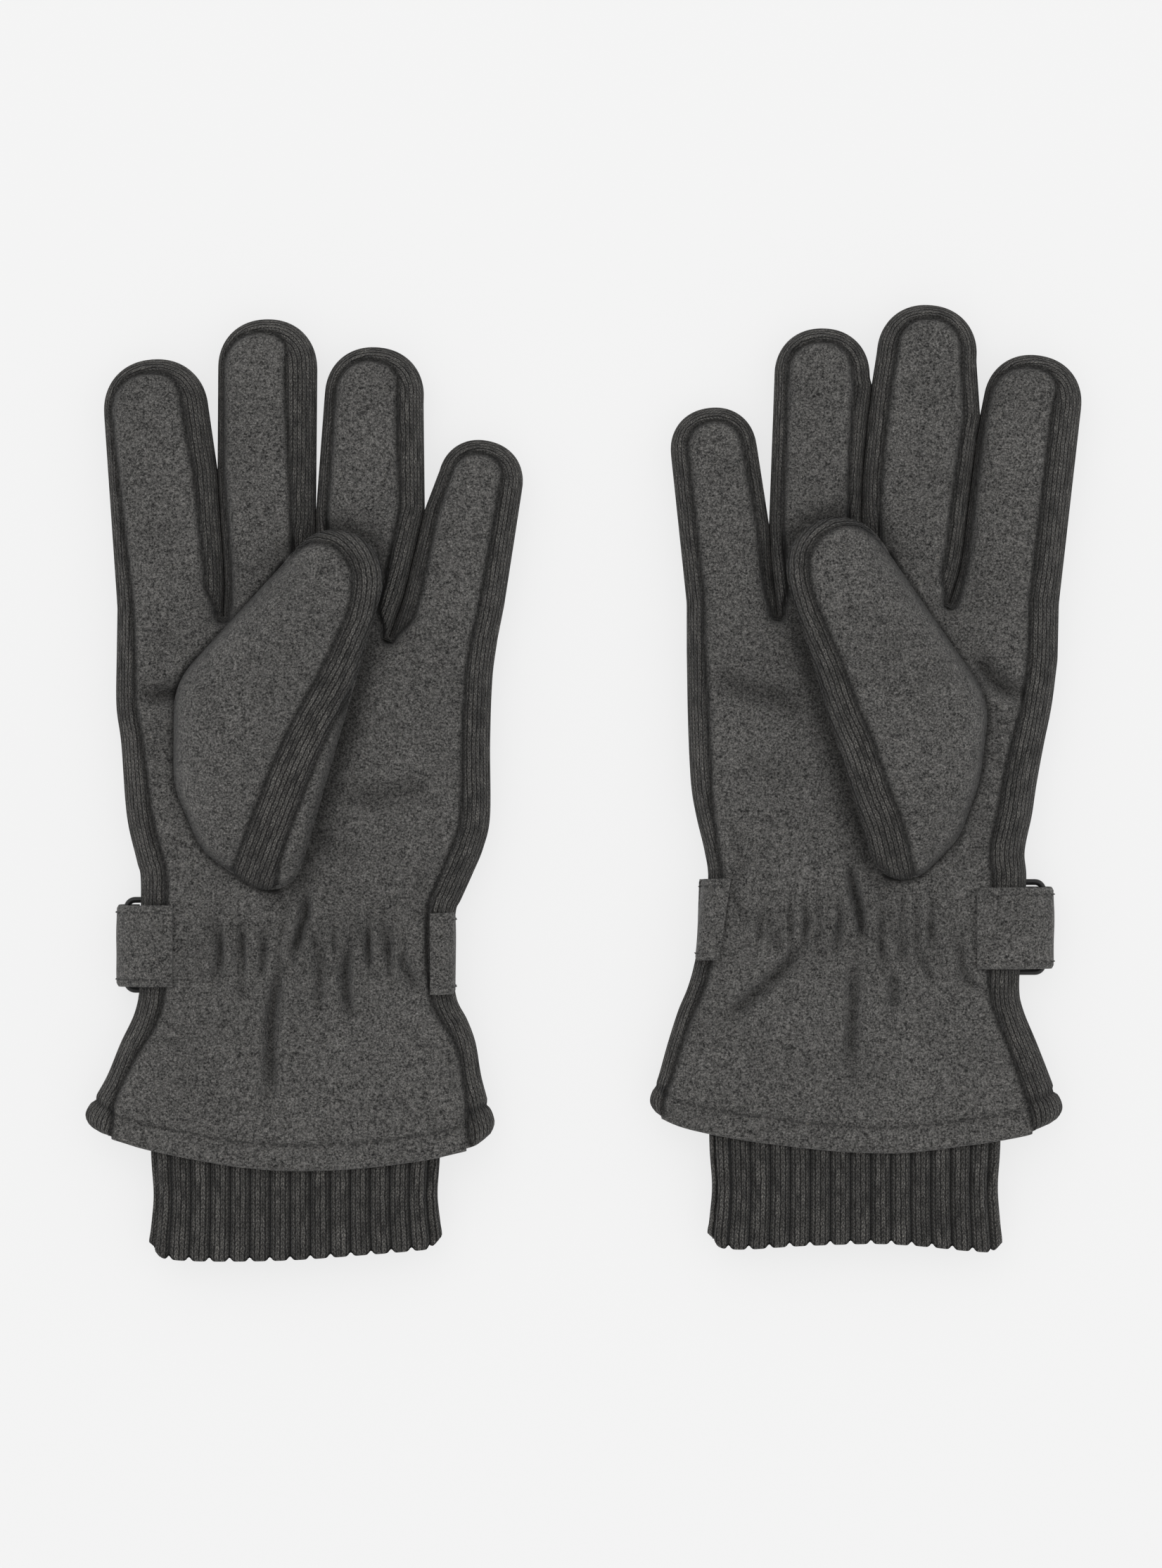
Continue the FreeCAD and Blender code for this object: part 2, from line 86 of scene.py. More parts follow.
CUFF_LOW, CUFF_HIGH = 4.2, 15.8  # underside and top of the rib cuff
RIB_PITCH = 6.15
RIB_DEPTH = 1.5
RIB_COLUMNS = 16  # faces across one rib
CUFF_STEP = 1.3  # between the cuff's rows
CUFF_START = 24.0  # below the strap's middle, out of sight in the gauntlet
CUFF_WALL = 2.2  # from the cuff's outside to its inside
HEM_WIDTH = 7.0  # from the hem's edge to its stitches
HEM_INSET = 0.6  # from the hem's edge to where its height is taken
RING_BAR = 0.9  # radius of the ring's bar
RING_SPAN = 15.0  # between the ring's two long bars
EDGE_STITCH = 2.2  # from a strap's long edge to its stitches
STITCH_LIFT = 0.16  # of the stitches' middle above a strap's face
BEAD_PLACES = (0, 0.15, 0.5, 0.85, 1)  # a stitch's sections along its length
BEAD_PROFILE = ((0.35, -1.2), (0.9, 0.1), (1.0, 0.5), (0.9, 0.1), (0.35, -1.2))  # their thickness and lift
HEM_BULGE = 8.0  # the bulging end of each knitted strip at the hem
HEM_CORNER = 3.6  # radius of its outer corner
ROOT_LINE = 56.0  # where the finger pieces start, in y

# What each glove's table holds:
#   radial: which side the thumb's edge of the hand is on, -1 towards -X and 1 towards +X
#   fingers: base and tip circles (x, y, radius); how far the fold is from the fingertip's end; and the width
#     of the knitted strip on the left and on the right side, each at the base and at the tip
#   west, east: the hand's edges, from the hem up to the first and the last finger
#   gaps: where neighbouring fingers touch, from the open end down to the web
#   side_knit: (y, width) of the knitted strip along the west and the east edge
#   hem: the gauntlet's lower edge
#   thumb: circles (x, y, radius) whose hull is the thumb, anticlockwise
#   thumb_front, thumb_back: the two seams of the thumb's knitted strip; without the second it reaches the rim
#   thumb_seam: the ends of the stretch of the thumb's outline that is sewn to the palm
#   cuff, cuff_end: x of the rib cuff's sides, and the line of its end
#   strap_y, elastic: y of the strap's middle, and x of the ends of the elastic in the palm
#   creases: (depth, width, corners) of each fold in the palm's felt
#   strap_walls: distances from the middle of the pair to the tab's seam, the glove's side there and the tab's
#     outside, and to the strap's seam and outside on the far edge
#   strap_slant: how far the strap's sewn end is moved along y and tilted
GLOVES = {
    "left": {
        "radial": -1,
        "fingers": {
            "index": {"base": (-126.5, 55, 16.7), "tip": (-131.3, 114.4, 16), "knuckle": 50,
                      "knit": ((5.8, 2.5), (5, 7.6))},
            "middle": {"base": (-95.7, 57, 13.4), "tip": (-97, 127.5, 15.2), "knuckle": 53.5,
                       "knit": ((2.4, 1.8), (5.8, 9.5))},
            "ring": {"base": (-68.8, 57, 12.9), "tip": (-64.2, 118.9, 15.2), "knuckle": 45,
                     "knit": ((3.9, 3.2), (6.2, 8))},
            "little": {"base": (-39.3, 57, 15.2), "tip": (-31.6, 92.5, 13), "knuckle": 36,
                       "knit": ((5.2, 3.7), (7.4, 6.5))},
        },
        "west": [(-153.4, -104.5), (-150.7, -98), (-146.3, -90), (-142.2, -80), (-138, -71),
                 (-136.4, -63), (-136.2, -50), (-136, -30), (-137.2, -24), (-140.3, -10), (-142, 12),
                 (-143.5, 24), (-143.4, 40)],
        "east": [(-27.2, -106.5), (-29.3, -98), (-31.4, -90), (-33.1, -80), (-35.6, -73), (-39, -66),
                 (-39.8, -55), (-39.2, -40), (-37.6, -36), (-34, -28), (-30.7, -20), (-28.6, -10),
                 (-28.6, 12), (-27.9, 32), (-26.4, 44)],
        "gaps": [
            [(-112.4, 95.6), (-111.4, 80.6), (-110.3, 63.2), (-110.6, 51)],
            [(-82.2, 82.3), (-82.1, 70), (-82, 55)],
            [(-48.7, 84), (-51.7, 71.3), (-55.1, 57.3), (-59.6, 44.5)],
        ],
        "side_knit": (
            [(-106, 9.4), (-99.5, 8.8), (-96, 5.4), (-92, 5), (-85, 5.6), (-68, 8), (-24, 8.4), (0, 7.6),
             (24, 6.2), (48, 6.2)],
            [(-108, 8.4), (-100, 7.4), (-96, 5.4), (-85, 5), (-73, 6.5), (-60, 7.5), (-24, 9), (0, 8.4),
             (24, 8), (48, 7.6)],
        ),
        "hem": [(-153.4, -104.5), (-150, -106.6), (-142, -109), (-134, -111.4), (-120, -114.4),
                (-104, -117), (-89, -118), (-70, -117.4), (-50, -115), (-40, -112.9), (-32, -110.7),
                (-27.2, -107.5)],
        "thumb": [(-75.7, 62.4, 15), (-104.7, 22.6, 20.5), (-106, 3, 19.3), (-102.5, -9.5, 17.6),
                  (-96.2, -22.1, 10.9)],
        "thumb_front": [(-108, -29.5), (-100.7, -10.7), (-94.1, 5.8), (-88.3, 18.2), (-83.3, 27.4),
                        (-78.3, 36.5), (-73.4, 47.2), (-70.9, 53.9), (-70, 62.2), (-71.7, 67.6),
                        (-75.8, 71.9), (-80.8, 73.2), (-85, 72.2), (-90.4, 69), (-97, 64)],
        "thumb_back": [(-94.5, -34), (-90.8, -18.2), (-85.8, -4.9), (-81.6, 5.8), (-76.7, 16.6),
                       (-71.7, 26.5), (-66.7, 35.6), (-61, 44)],
        "thumb_seam": ((-94, -32.5), (-93, 68)),
        "cuff": (-132.4, -44),
        "cuff_end": [(-133, -145.2), (-124, -146.5), (-110, -146.9), (-90, -146.5), (-70, -145.1),
                     (-50, -143.4), (-43, -142.2)],
        "strap_y": -50,
        "elastic": (-118, -56),
        "creases": [
            (0.9, 1.6, [(-114.4, -36), (-112.5, -46), (-111.5, -56), (-115, -66)]),
            (0.7, 1.3, [(-105.5, -42), (-104.3, -52), (-104.6, -70)]),
            (0.8, 1.4, [(-98.5, -44), (-98, -55), (-100.5, -64)]),
            (1.6, 2, [(-92, -50), (-93.5, -60), (-95.3, -70), (-95.8, -86), (-96.2, -104)]),
            (1.8, 1.5, [(-85.6, -30), (-85, -40), (-87.5, -49), (-88, -56)]),
            (1.1, 1.4, [(-82.5, -44), (-80.6, -56), (-81.5, -73)]),
            (1.5, 1.7, [(-72.5, -48), (-73, -60), (-71.3, -70), (-66.5, -73.2)]),
            (0.8, 1.2, [(-66.5, -44), (-65.3, -58)]),
            (0.8, 1.3, [(-60.5, -42), (-60, -52), (-58.5, -62)]),
            (1.2, 1.6, [(-57, -50), (-53.9, -58), (-48.5, -65.5)]),
            (1.7, 2.8, [(-138, 29), (-130, 27), (-122, 29), (-113, 40)]),
            (1.1, 4.5, [(-78, -2), (-66, -4), (-54, -2), (-42, 0)]),
            (0.8, 3.5, [(-84, -14), (-76, -20), (-66, -22)]),
            (0.6, 2.5, [(-47, -20), (-50, -34), (-48, -44)]),
        ],
        "strap_walls": {"tab": (125.6, 135.6, 143.6), "far": (46.8, 39.2)},
        "strap_slant": (-2.4, 0),
    },
    "right": {
        "radial": 1,
        "fingers": {
            "index": {"base": (129.8, 57, 16.7), "tip": (138.3, 116.7, 15), "knuckle": 48,
                      "knit": ((1.7, 1.3), (9.4, 9.2))},
            "middle": {"base": (99.5, 57, 12.8), "tip": (105.8, 131.8, 15.3), "knuckle": 54,
                       "knit": ((5.2, 5.6), (5.4, 5))},
            "ring": {"base": (73.7, 57, 12), "tip": (73.6, 125.3, 14.6), "knuckle": 47,
                     "knit": ((4.2, 3.7), (2.8, 5.6))},
            "little": {"base": (46.4, 57, 14.5), "tip": (40.3, 102.3, 13.2), "knuckle": 41,
                       "knit": ((5.1, 5), (2.7, 4.5))},
        },
        "west": [(21.2, -101), (21.2, -96.5), (23.4, -90), (26.2, -80), (29.4, -70), (32.3, -63),
                 (34.5, -55), (37.3, -40), (38.6, -29), (37.4, -20.5), (34.9, -10), (33.3, 0), (32.4, 18),
                 (32, 40)],
        "east": [(147, -102), (146.4, -98), (143.5, -90), (139.6, -80), (135.5, -70), (134.2, -63),
                 (135, -50), (136.4, -30), (135.9, -21), (138.1, -10), (139.6, 0), (141.8, 12),
                 (144.2, 24), (146, 38)],
        "gaps": [
            [(57.3, 79), (57.9, 68), (59.8, 51.5)],
            [(88.9, 122.5), (87.7, 112.7), (86, 94), (85.6, 75), (85.9, 55)],
            [(122.2, 112.7), (120.6, 102.3), (118.4, 84.9), (116.2, 67.5), (112.6, 55)],
        ],
        "side_knit": (
            [(-98, 3.4), (-73, 4), (-55, 4.5), (-24, 3.6), (0, 6), (24, 6), (48, 4.8)],
            [(-98, 9.5), (-90, 9.5), (-73, 8.4), (-60, 10), (-24, 11), (0, 10.8), (24, 9.4), (48, 9.6)],
        ),
        "hem": [(21.2, -101), (24, -102.1), (30, -104.5), (38, -106.5), (50, -108.7), (61, -110.2),
                (78, -112), (94, -112.6), (104, -112), (115, -110.6), (127, -108.9), (138, -106.6),
                (147, -103)],
        "thumb": [(77.8, 65.3, 15.9), (98, -19.2, 10.6), (101, -8, 16.4), (103, 5, 18.9),
                  (103.3, 20.2, 20.5)],
        "thumb_front": [(101.6, -29.5), (97.2, -12.4), (93.1, -1.6), (88.1, 12.5), (83.1, 24.1),
                        (79, 35.7), (74, 47.3), (70.3, 56.4), (68.6, 64.7), (69.3, 70.5), (72.4, 74.8),
                        (77.3, 77.7), (83.1, 78), (88.1, 75.8), (92.4, 72.6), (99, 67.5)],
        "thumb_back": None,
        "thumb_seam": ((92, -30), (95.5, 71)),
        "cuff": (39.3, 128.3),
        "cuff_end": [(39, -142.6), (50, -143.2), (66, -142.2), (88, -141.5), (102, -142.1), (118, -143.7),
                     (129, -144.3)],
        "strap_y": -44.5,
        "elastic": (52, 112),
        "creases": [
            (1.5, 2.2, [(68.5, -46), (63, -55), (55.5, -62.5), (47.2, -69.1), (39, -74)]),
            (0.8, 1.3, [(69.6, -38), (68.8, -47)]),
            (0.8, 1.3, [(59.8, -44), (59.2, -54)]),
            (0.8, 1.3, [(77.9, -42), (76.9, -54)]),
            (2, 1.6, [(81.5, -22), (82.6, -30), (84.5, -39), (87, -49)]),
            (1.5, 2.1, [(83.6, -49), (83.1, -58), (82.9, -67), (82.4, -80), (82, -92)]),
            (0.8, 1.2, [(91.1, -46), (92.2, -56.5)]),
            (1.1, 1.7, [(94.9, -55), (95.7, -72)]),
            (0.8, 1.2, [(97.5, -47), (97.9, -56)]),
            (0.9, 1.3, [(102.6, -49), (104.5, -55), (108, -63)]),
            (0.8, 1.2, [(106, -41), (107, -52)]),
            (1.1, 1.5, [(114.9, -44), (117, -58), (123, -66)]),
            (0.8, 1.4, [(45, -32), (50.5, -43.5)]),
            (0.8, 1.3, [(53.5, -38), (54.5, -50)]),
            (1.8, 2.8, [(139, 28), (132, 28), (125.5, 32), (119, 42)]),
            (1.3, 4, [(37, 37), (48, 30), (58, 27), (72, 20)]),
            (0.7, 3.5, [(48, 10), (58, 4), (72, 2)]),
            (0.6, 2.5, [(44, -8), (48, -22), (47, -34)]),
        ],
        "strap_walls": {"tab": (120.6, 135.4, 144.9), "far": (43.5, 35.6)},
        "strap_slant": (2.8, 3.6),
    },
}
FINGERS = ("index", "middle", "ring", "little")


# Curves -------------------------------------------------------------------------------------------
def smooth_curve(points, step):
    """A Catmull-Rom curve through points, about one sample per step."""
    points = [np.array(p, float) for p in points]
    ends = [2 * points[0] - points[1], *points, 2 * points[-1] - points[-2]]
    samples = []
    for i in range(1, len(ends) - 2):
        a, b, c, d = ends[i - 1], ends[i], ends[i + 1], ends[i + 2]
        count = max(2, int(np.linalg.norm(c - b) / step))
        for t in np.arange(count) / count:
            square, cube = 2 * a - 5 * b + 4 * c - d, 3 * b - a - 3 * c + d
            samples.append(0.5 * (2 * b + (c - a) * t + square * t**2 + cube * t**3))
    samples.append(points[-1])
    return np.array(samples)


def resample(points, step):
    """Even steps along a polyline; gives the samples and their lengths along it."""
    lengths = np.concatenate([[0], np.cumsum(np.linalg.norm(np.diff(points, axis=0), axis=1))])
    count = max(2, int(round(lengths[-1] / step)) + 1)
    at = np.linspace(0, lengths[-1], count)
    return np.stack([np.interp(at, lengths, points[:, k]) for k in range(points.shape[1])], axis=1), at


def normals_right(points):
    """Unit normals to the right of travel."""
    along = np.gradient(points, axis=0)
    along /= np.linalg.norm(along, axis=1)[:, None]
    return np.stack([along[:, 1], -along[:, 0]], axis=1)


def blurred(values, sigma, closed=False):
    """Gaussian smoothing over samples."""
    reach = int(4 * sigma) + 1
    weights = np.exp(-0.5 * (np.arange(-reach, reach + 1) / sigma) ** 2)
    weights /= weights.sum()
    values = np.asarray(values, float)
    if closed:
        padded = np.concatenate([values[-reach:], values, values[:reach]])
        return np.convolve(padded, weights, "valid")
    before, after = 2 * values[0] - values[reach:0:-1], 2 * values[-1] - values[-2:-reach - 2:-1]
    return np.convolve(np.concatenate([before, values, after]), weights, "valid")


def inside_polygon(points, polygon):
    """Whether each point is inside a closed polygon."""
    x, y = points[:, 0], points[:, 1]
    inside = np.zeros(len(points), bool)
    for (x0, y0), (x1, y1) in zip(polygon, np.roll(polygon, -1, axis=0)):
        if y0 == y1:
            continue
        crossing = (y0 > y) != (y1 > y)
        inside ^= crossing & (x < x0 + (y - y0) * (x1 - x0) / (y1 - y0))
    return inside


def line_distance(points, line):
    """Each point's distance from a polyline, how far along it the nearest place is, and its length."""
    best = np.full(len(points), np.inf)
    along = np.zeros(len(points))
    travelled = 0.0
    for a, b in zip(line[:-1], line[1:]):
        step = b - a
        length = np.linalg.norm(step)
        t = np.clip(((points - a) @ step) / length**2, 0, 1)
        distance = np.linalg.norm(points - a - t[:, None] * step, axis=1)
        closer = distance < best
        best = np.where(closer, distance, best)
        along = np.where(closer, travelled + t * length, along)
        travelled += length
    return best, along, travelled


def signed_distance(points, line, area):
    """Each point's distance from a line that bounds an area, positive inside the area."""
    distance, _, _ = line_distance(points, line[::2])
    return np.where(inside_polygon(points, area), distance, -distance)


def bulge(t):
    """A quarter ellipse: 0 at 0, rising steeply, level from 1 on."""
    t = np.clip(t, 0, 1)
    return np.sqrt(np.clip(1 - (1 - t) ** 2, 0, 1))


def ease(t):
    """From 0 to 1, level at both ends."""
    t = np.clip(t, 0, 1)
    return t * t * (3 - 2 * t)


def wave(points, size, seed=0.0):
    """Smooth noise at each point, about -1 to 1."""
    return np.array([noise.noise(Vector((x / size, y / size, seed))) for x, y in points[:, :2]])


# One glove's outline ------------------------------------------------------------------------------
def ordered_fingers(glove):
    """The fingers' names from west to east."""
    names = FINGERS if glove["radial"] < 0 else FINGERS[::-1]
    return list(names)


def finger_side(finger, side):
    """The straight left or right side of a finger, from its base to its tip circle: two points."""
    (bx, by, br), (tx, ty, tr) = finger["base"], finger["tip"]
    along = np.array([tx - bx, ty - by], float)
    length = np.linalg.norm(along)
    along /= length
    out = np.array([along[1], -along[0]]) * side
    lean = (br - tr) / length
    normal = out * math.sqrt(1 - lean * lean) + along * lean
    return np.array([bx, by]) + normal * br, np.array([tx, ty]) + normal * tr


def tip_arc(finger):
    """The rounded tip, from its left side to its right side, slightly squarer than a circle."""
    (bx, by, _), (tx, ty, tr) = finger["base"], finger["tip"]
    lean = math.atan2(tx - bx, ty - by)
    points = []
    for angle in np.linspace(math.pi, 0, 25):
        c, s = math.cos(angle), math.sin(angle)
        power = 0.93
        x = math.copysign(abs(c) ** power, c) * tr
        y = abs(s) ** power * tr
        points.append((tx + x * math.cos(lean) + y * math.sin(lean),
                       ty - x * math.sin(lean) + y * math.cos(lean)))
    return points


def beside(gap, side):
    """The line where fingers touch, moved half a gap to one side, down to the web."""
    shifted = gap + np.array([side * FINGER_GAP / 2, 0])
    shifted[-1] = gap[-1]
    return list(shifted)


def outline(glove):
    """The outline from the west hem corner to the east one, and the knit's visible width along it."""
    fine = OUTLINE_STEP
    names = ordered_fingers(glove)
    west_knit, east_knit = (np.array(table, float) for table in glove["side_knit"])
    west = smooth_curve(glove["west"], fine)
    east = smooth_curve(glove["east"][::-1], fine)
    points, widths = [west], [np.interp(west[:, 1], *west_knit.T)]
    web_at = []
    gaps = [smooth_curve(gap, 0.5) for gap in glove["gaps"]]
    for i, name in enumerate(names):
        finger = glove["fingers"][name]
        left_knit, right_knit = finger["knit"]
        left, right = finger_side(finger, -1), finger_side(finger, 1)
        before, after = [west[-1], left[0], left[1]], [right[1], right[0], east[0]]
        if i > 0:
            before = [*beside(gaps[i - 1], 1)[::-1], left[1]]
        if i < len(names) - 1:
            after = [right[1], *beside(gaps[i], -1)]
        for line, ends in ((before, left_knit), (tip_arc(finger), None), (after, right_knit[::-1])):
            even, at = resample(np.array(line), fine)
            t = at[1:] / at[-1]
            points.append(even[1:])
            if ends:
                widths.append(ends[0] + (ends[1] - ends[0]) * t)
            else:
                left_part = (left_knit[1] - TIP_KNIT) * (1 - ease(2 * t))
                widths.append(TIP_KNIT + left_part + (right_knit[1] - TIP_KNIT) * ease(2 * t - 1))
        if i < len(names) - 1:
            web_at.append(gaps[i][-1])
    points.append(east[1:])
    widths.append(np.interp(east[1:, 1], *east_knit.T))
    points, widths = np.concatenate(points), np.concatenate(widths)
    even, at = resample(points, fine)
    lengths = np.concatenate([[0], np.cumsum(np.linalg.norm(np.diff(points, axis=0), axis=1))])
    width = blurred(np.interp(at, lengths, widths), 4.0 / fine)
    for web in web_at:
        k = int(np.argmin(np.linalg.norm(even - web, axis=1)))
        width = WEB_KNIT + (width - WEB_KNIT) * ease(np.abs(at - at[k]) / 9)
    even = np.stack([blurred(even[:, k], 0.5 / fine) for k in (0, 1)], axis=1)
    normals = np.stack([blurred(values, 0.3 / fine) for values in normals_right(even).T], axis=1)
    normals /= np.linalg.norm(normals, axis=1)[:, None]
    turn = np.abs(np.diff(np.unwrap(np.arctan2(normals[:, 1], normals[:, 0])), prepend=0.0))
    turn[0] = 0.0
    return {"points": even, "normals": normals, "width": width, "at": at, "turn": turn}


def strip_rows(shape, low, high):
    """Samples for a strip's rows: one every STRIP_STEP, and more where the outline turns sharply."""
    part = slice(low, high + 1)
    weight = np.gradient(shape["at"][part]) / STRIP_STEP + shape["turn"][part] / math.radians(7)
    total = np.cumsum(weight)
    count = int(total[-1]) + 2
    steps = np.searchsorted(total, np.linspace(total[0], total[-1], count))
    return low + np.unique(steps.clip(0, high - low))


def tree_of(points):
    """A search tree of points in plan."""
    tree = kdtree.KDTree(len(points))
    for i, (x, y) in enumerate(points):
        tree.insert((x, y, 0), i)
    tree.balance()
    return tree


def nearest_on(tree, points):
    """Each point's distance from the nearest one in the tree, and that one's index."""
    found = [tree.find((x, y, 0)) for x, y in points[:, :2]]
    return np.array([f[2] for f in found]), np.array([f[1] for f in found])


# Heights ------------------------------------------------------------------------------------------
def gathers(glove, points):
    """Depth of the palm's folds, with soft ridges beside them, and of the gathers at the wrist elastic."""
    depth = np.zeros(len(points))
    for strength, width, corners in glove["creases"]:
        line = smooth_curve(corners, 1.0) if len(corners) > 2 else np.array(corners, float)
        reach = np.ptp(line, axis=0) / 2 + 6 * width + 6
        near = (np.abs(points - line.mean(axis=0)) < reach).all(axis=1)
        if not near.any():
            continue
        distance, along, length = line_distance(points[near], line)
        fade = ease(along / (0.34 * length)) * ease((length - along) / (0.34 * length))
        valley = np.exp(-((distance / width) ** 2))
        ridge = 0.42 * np.exp(-(((distance - 2.1 * width) / (0.9 * width)) ** 2))
        fall = np.exp(-np.clip(distance / width - 4, 0, None))
        depth[near] += GATHER * strength * (0.04 + 0.96 * fade) * (valley - ridge) * fall
    west, east = glove["elastic"]
    drawn = np.exp(-(((points[:, 1] - glove["strap_y"] - 1.0) / GATHER_REACH) ** 2))
    drawn = drawn * ease((points[:, 0] - west + 6) / 10) * ease((east + 6 - points[:, 0]) / 10)
    uneven = wave(points * np.array([1, 0.5]), 13, 51.0)
    broad_pitch, narrow_pitch = GATHER_PITCHES
    broad = 0.5 + 0.5 * np.sin(2 * math.pi * points[:, 0] / broad_pitch + 3.4 * uneven)
    narrow = 0.5 + 0.5 * np.sin(2 * math.pi * points[:, 0] / narrow_pitch - 4.0 * uneven)
    return np.clip(depth + drawn * (0.2 + 1.2 * broad**2 + 0.9 * narrow**1.5), *FOLD_LIMITS)


def thumb_painted_shade(glove, points):
    """Painted shade round the thumb: a narrow dark line at its seam, and a softer painted shadow along its
    free edge.
    """
    free_tree, seam_tree, low, high = glove["thumb_trees"]
    shade = np.zeros(len(points))
    near = ((points > low - 12) & (points < high + 12)).all(axis=1)
    if near.any():
        from_free, from_seam = (nearest_on(tree, points[near])[0] for tree in (free_tree, seam_tree))
        # painted shadow of the thumb on the palm
        shade[near] = 0.85 * np.exp(-((from_seam / 1.2) ** 2))
        shade[near] += 0.6 * np.exp(-((from_free / 4.6) ** 2))
    return shade


def thumb_trough(glove, points):
    """How far the palm is pressed down along the thumb's free edge."""
    free_tree, seam_tree, low, high = glove["thumb_trees"]
    depth = np.zeros(len(points))
    near = ((points > low - 12) & (points < high + 12)).all(axis=1)
    if near.any():
        from_free, from_seam = (nearest_on(tree, points[near])[0] for tree in (free_tree, seam_tree))
        depth[near] = TROUGH * np.exp(-((from_free / 4.5) ** 2)) * ease(from_seam / 9)
    return depth


def recess_lift(glove, y):
    """How far the back of the wrist rises to leave room for the strap."""
    half = STRAP_WIDTH / 2 + 4.5
    away = np.abs(y - glove["strap_y"]) - half
    return (RECESS_DEPTH + 0.1) * (1 - ease(away / 7.0))


def seam_groove(distance):
    """Depth of the groove at some distance from a seam."""
    return SEAM_DEPTH * np.exp(-((distance / SEAM_WIDTH) ** 2))


def skin(glove, points, inside, to_seam, face):
    """Height of the glove's top (face 1) or underside (face -1). inside is the distance from the outline."""
    soft = bulge(inside / EDGE_ROUND)
    lumps = 0.35 * wave(points, 17, 3.1 * face) + 0.22 * wave(points, 6.5, 9.7 * face)
    seams = seam_groove(to_seam) * ease(inside / 2.0)
    z = MIDDLE + face * (MIDDLE * soft - seams + soft * (lumps - 0.35))
    if face > 0:
        return z - soft * (gathers(glove, points) + thumb_trough(glove, points))
    return np.maximum(z, 0.05) + recess_lift(glove, points[:, 1]) * ease(inside / 4.0) * 0.98


# Meshes -------------------------------------------------------------------------------------------
def mesh_object(name, vertices, faces, material, uv=None, shade=None):
    """A smooth mesh from millimetre points. uv is their place on the knitting, shade is painted shade that
    darkens the colour, kept in the depth attribute.
    """
    vertices = np.asarray(vertices, float)
    mesh = bpy.data.meshes.new(name)
    mesh.from_pydata((vertices * MM).tolist(), [], faces)
    rest = mesh.attributes.new("rest", "FLOAT_VECTOR", "POINT")
    rest.data.foreach_set("vector", vertices.astype(np.float32).ravel())
    if uv is not None:
        flat = np.zeros((len(vertices), 3), np.float32)
        flat[:, :2] = uv
        stitches = mesh.attributes.new("stitch", "FLOAT_VECTOR", "POINT")
        stitches.data.foreach_set("vector", flat.ravel())
    # the depth attribute holds painted shade, not a real depth
    depth = mesh.attributes.new("depth", "FLOAT", "POINT")
    values = np.zeros(len(vertices), np.float32) if shade is None else np.asarray(shade, np.float32)
    depth.data.foreach_set("value", values)
    mesh.polygons.foreach_set("use_smooth", [True] * len(mesh.polygons))
    mesh.materials.append(material)
    mesh.validate()
    mesh.update()
    obj = bpy.data.objects.new(name, mesh)
    bpy.context.scene.collection.objects.link(obj)
    return obj


def lattice_faces(rows, columns, closed_rows=False, closed_columns=False):
    """The four-sided faces of a grid of vertices, which can close on itself in either direction."""
    faces = []
    for i in range(rows if closed_rows else rows - 1):
        for j in range(columns if closed_columns else columns - 1):
            i2, j2 = (i + 1) % rows, (j + 1) % columns
            faces.append((i * columns + j, i2 * columns + j, i2 * columns + j2, i * columns + j2))
    return faces


def clipped_grid(level, x_range, y_range, cell=CELL):
    """The part of a grid where level(points) is positive, cut along its zero line. Gives points and faces."""
    xs = np.arange(math.floor(x_range[0] / cell), math.ceil(x_range[1] / cell) + 1) * cell
    ys = np.arange(math.floor(y_range[0] / cell), math.ceil(y_range[1] / cell) + 1) * cell
    gx, gy = np.meshgrid(xs, ys, indexing="ij")
    nodes = np.stack([gx.ravel(), gy.ravel()], axis=1)
    values = level(nodes)
    count = len(ys)
    points, index, faces = [], {}, []

    def corner(key, position):
        if key not in index:
            index[key] = len(points)
            points.append(position)
        return index[key]

    for i in range(len(xs) - 1):
        for j in range(len(ys) - 1):
            loop = (i * count + j, (i + 1) * count + j, (i + 1) * count + j + 1, i * count + j + 1)
            signs = [values[k] > 0 for k in loop]
            if not any(signs):
                continue
            face = []
            for k in range(4):
                a, b = loop[k], loop[(k + 1) % 4]
                if signs[k]:
                    face.append(corner(a, nodes[a]))
                if signs[k] != signs[(k + 1) % 4]:
                    t = values[a] / (values[a] - values[b])
                    key = (min(a, b), max(a, b))
                    face.append(corner(key, nodes[a] * (1 - t) + nodes[b] * t))
            if len(face) > 2:
                faces.append(tuple(face))
    return np.array(points), faces


def in_use(faces):
    """The vertices that some faces use, and the faces renumbered to them."""
    used = sorted({k for face in faces for k in face})
    renumber = {k: n for n, k in enumerate(used)}
    return used, [tuple(renumber[k] for k in face) for face in faces]


def two_layers(faces, count):
    """The faces of a layer with count vertices, and of a second layer that faces the other way."""
    return faces + [tuple(k + count for k in face[::-1]) for face in faces]


def split_faces(points, faces, owner_of):
    """Groups faces by owner_of(face centres); gives {owner: (points, faces)}."""
    centres = np.array([points[list(face)].mean(axis=0) for face in faces])
    owners = owner_of(centres)
    parts = {}
    for owner in dict.fromkeys(owners):
        used, chosen = in_use([face for face, o in zip(faces, owners) if o == owner])
        parts[owner] = (points[used], chosen)
    return parts


# Materials ----------------------------------------------------------------------------------------
def material(name):
    """A new material, its node tree and its shader."""
    made = bpy.data.materials.new(name)
    made.use_nodes = True
    tree = made.node_tree
    return made, tree, tree.nodes["Principled BSDF"]


def fill(tree, made, inputs):
    """Links or sets a node's inputs."""
    for key, value in inputs.items():
        if isinstance(value, bpy.types.NodeSocket):
            tree.links.new(value, made.inputs[key])
        elif isinstance(value, tuple) and made.inputs[key].type == "RGBA":
            made.inputs[key].default_value = (*value, 1)
        else:
            made.inputs[key].default_value = value


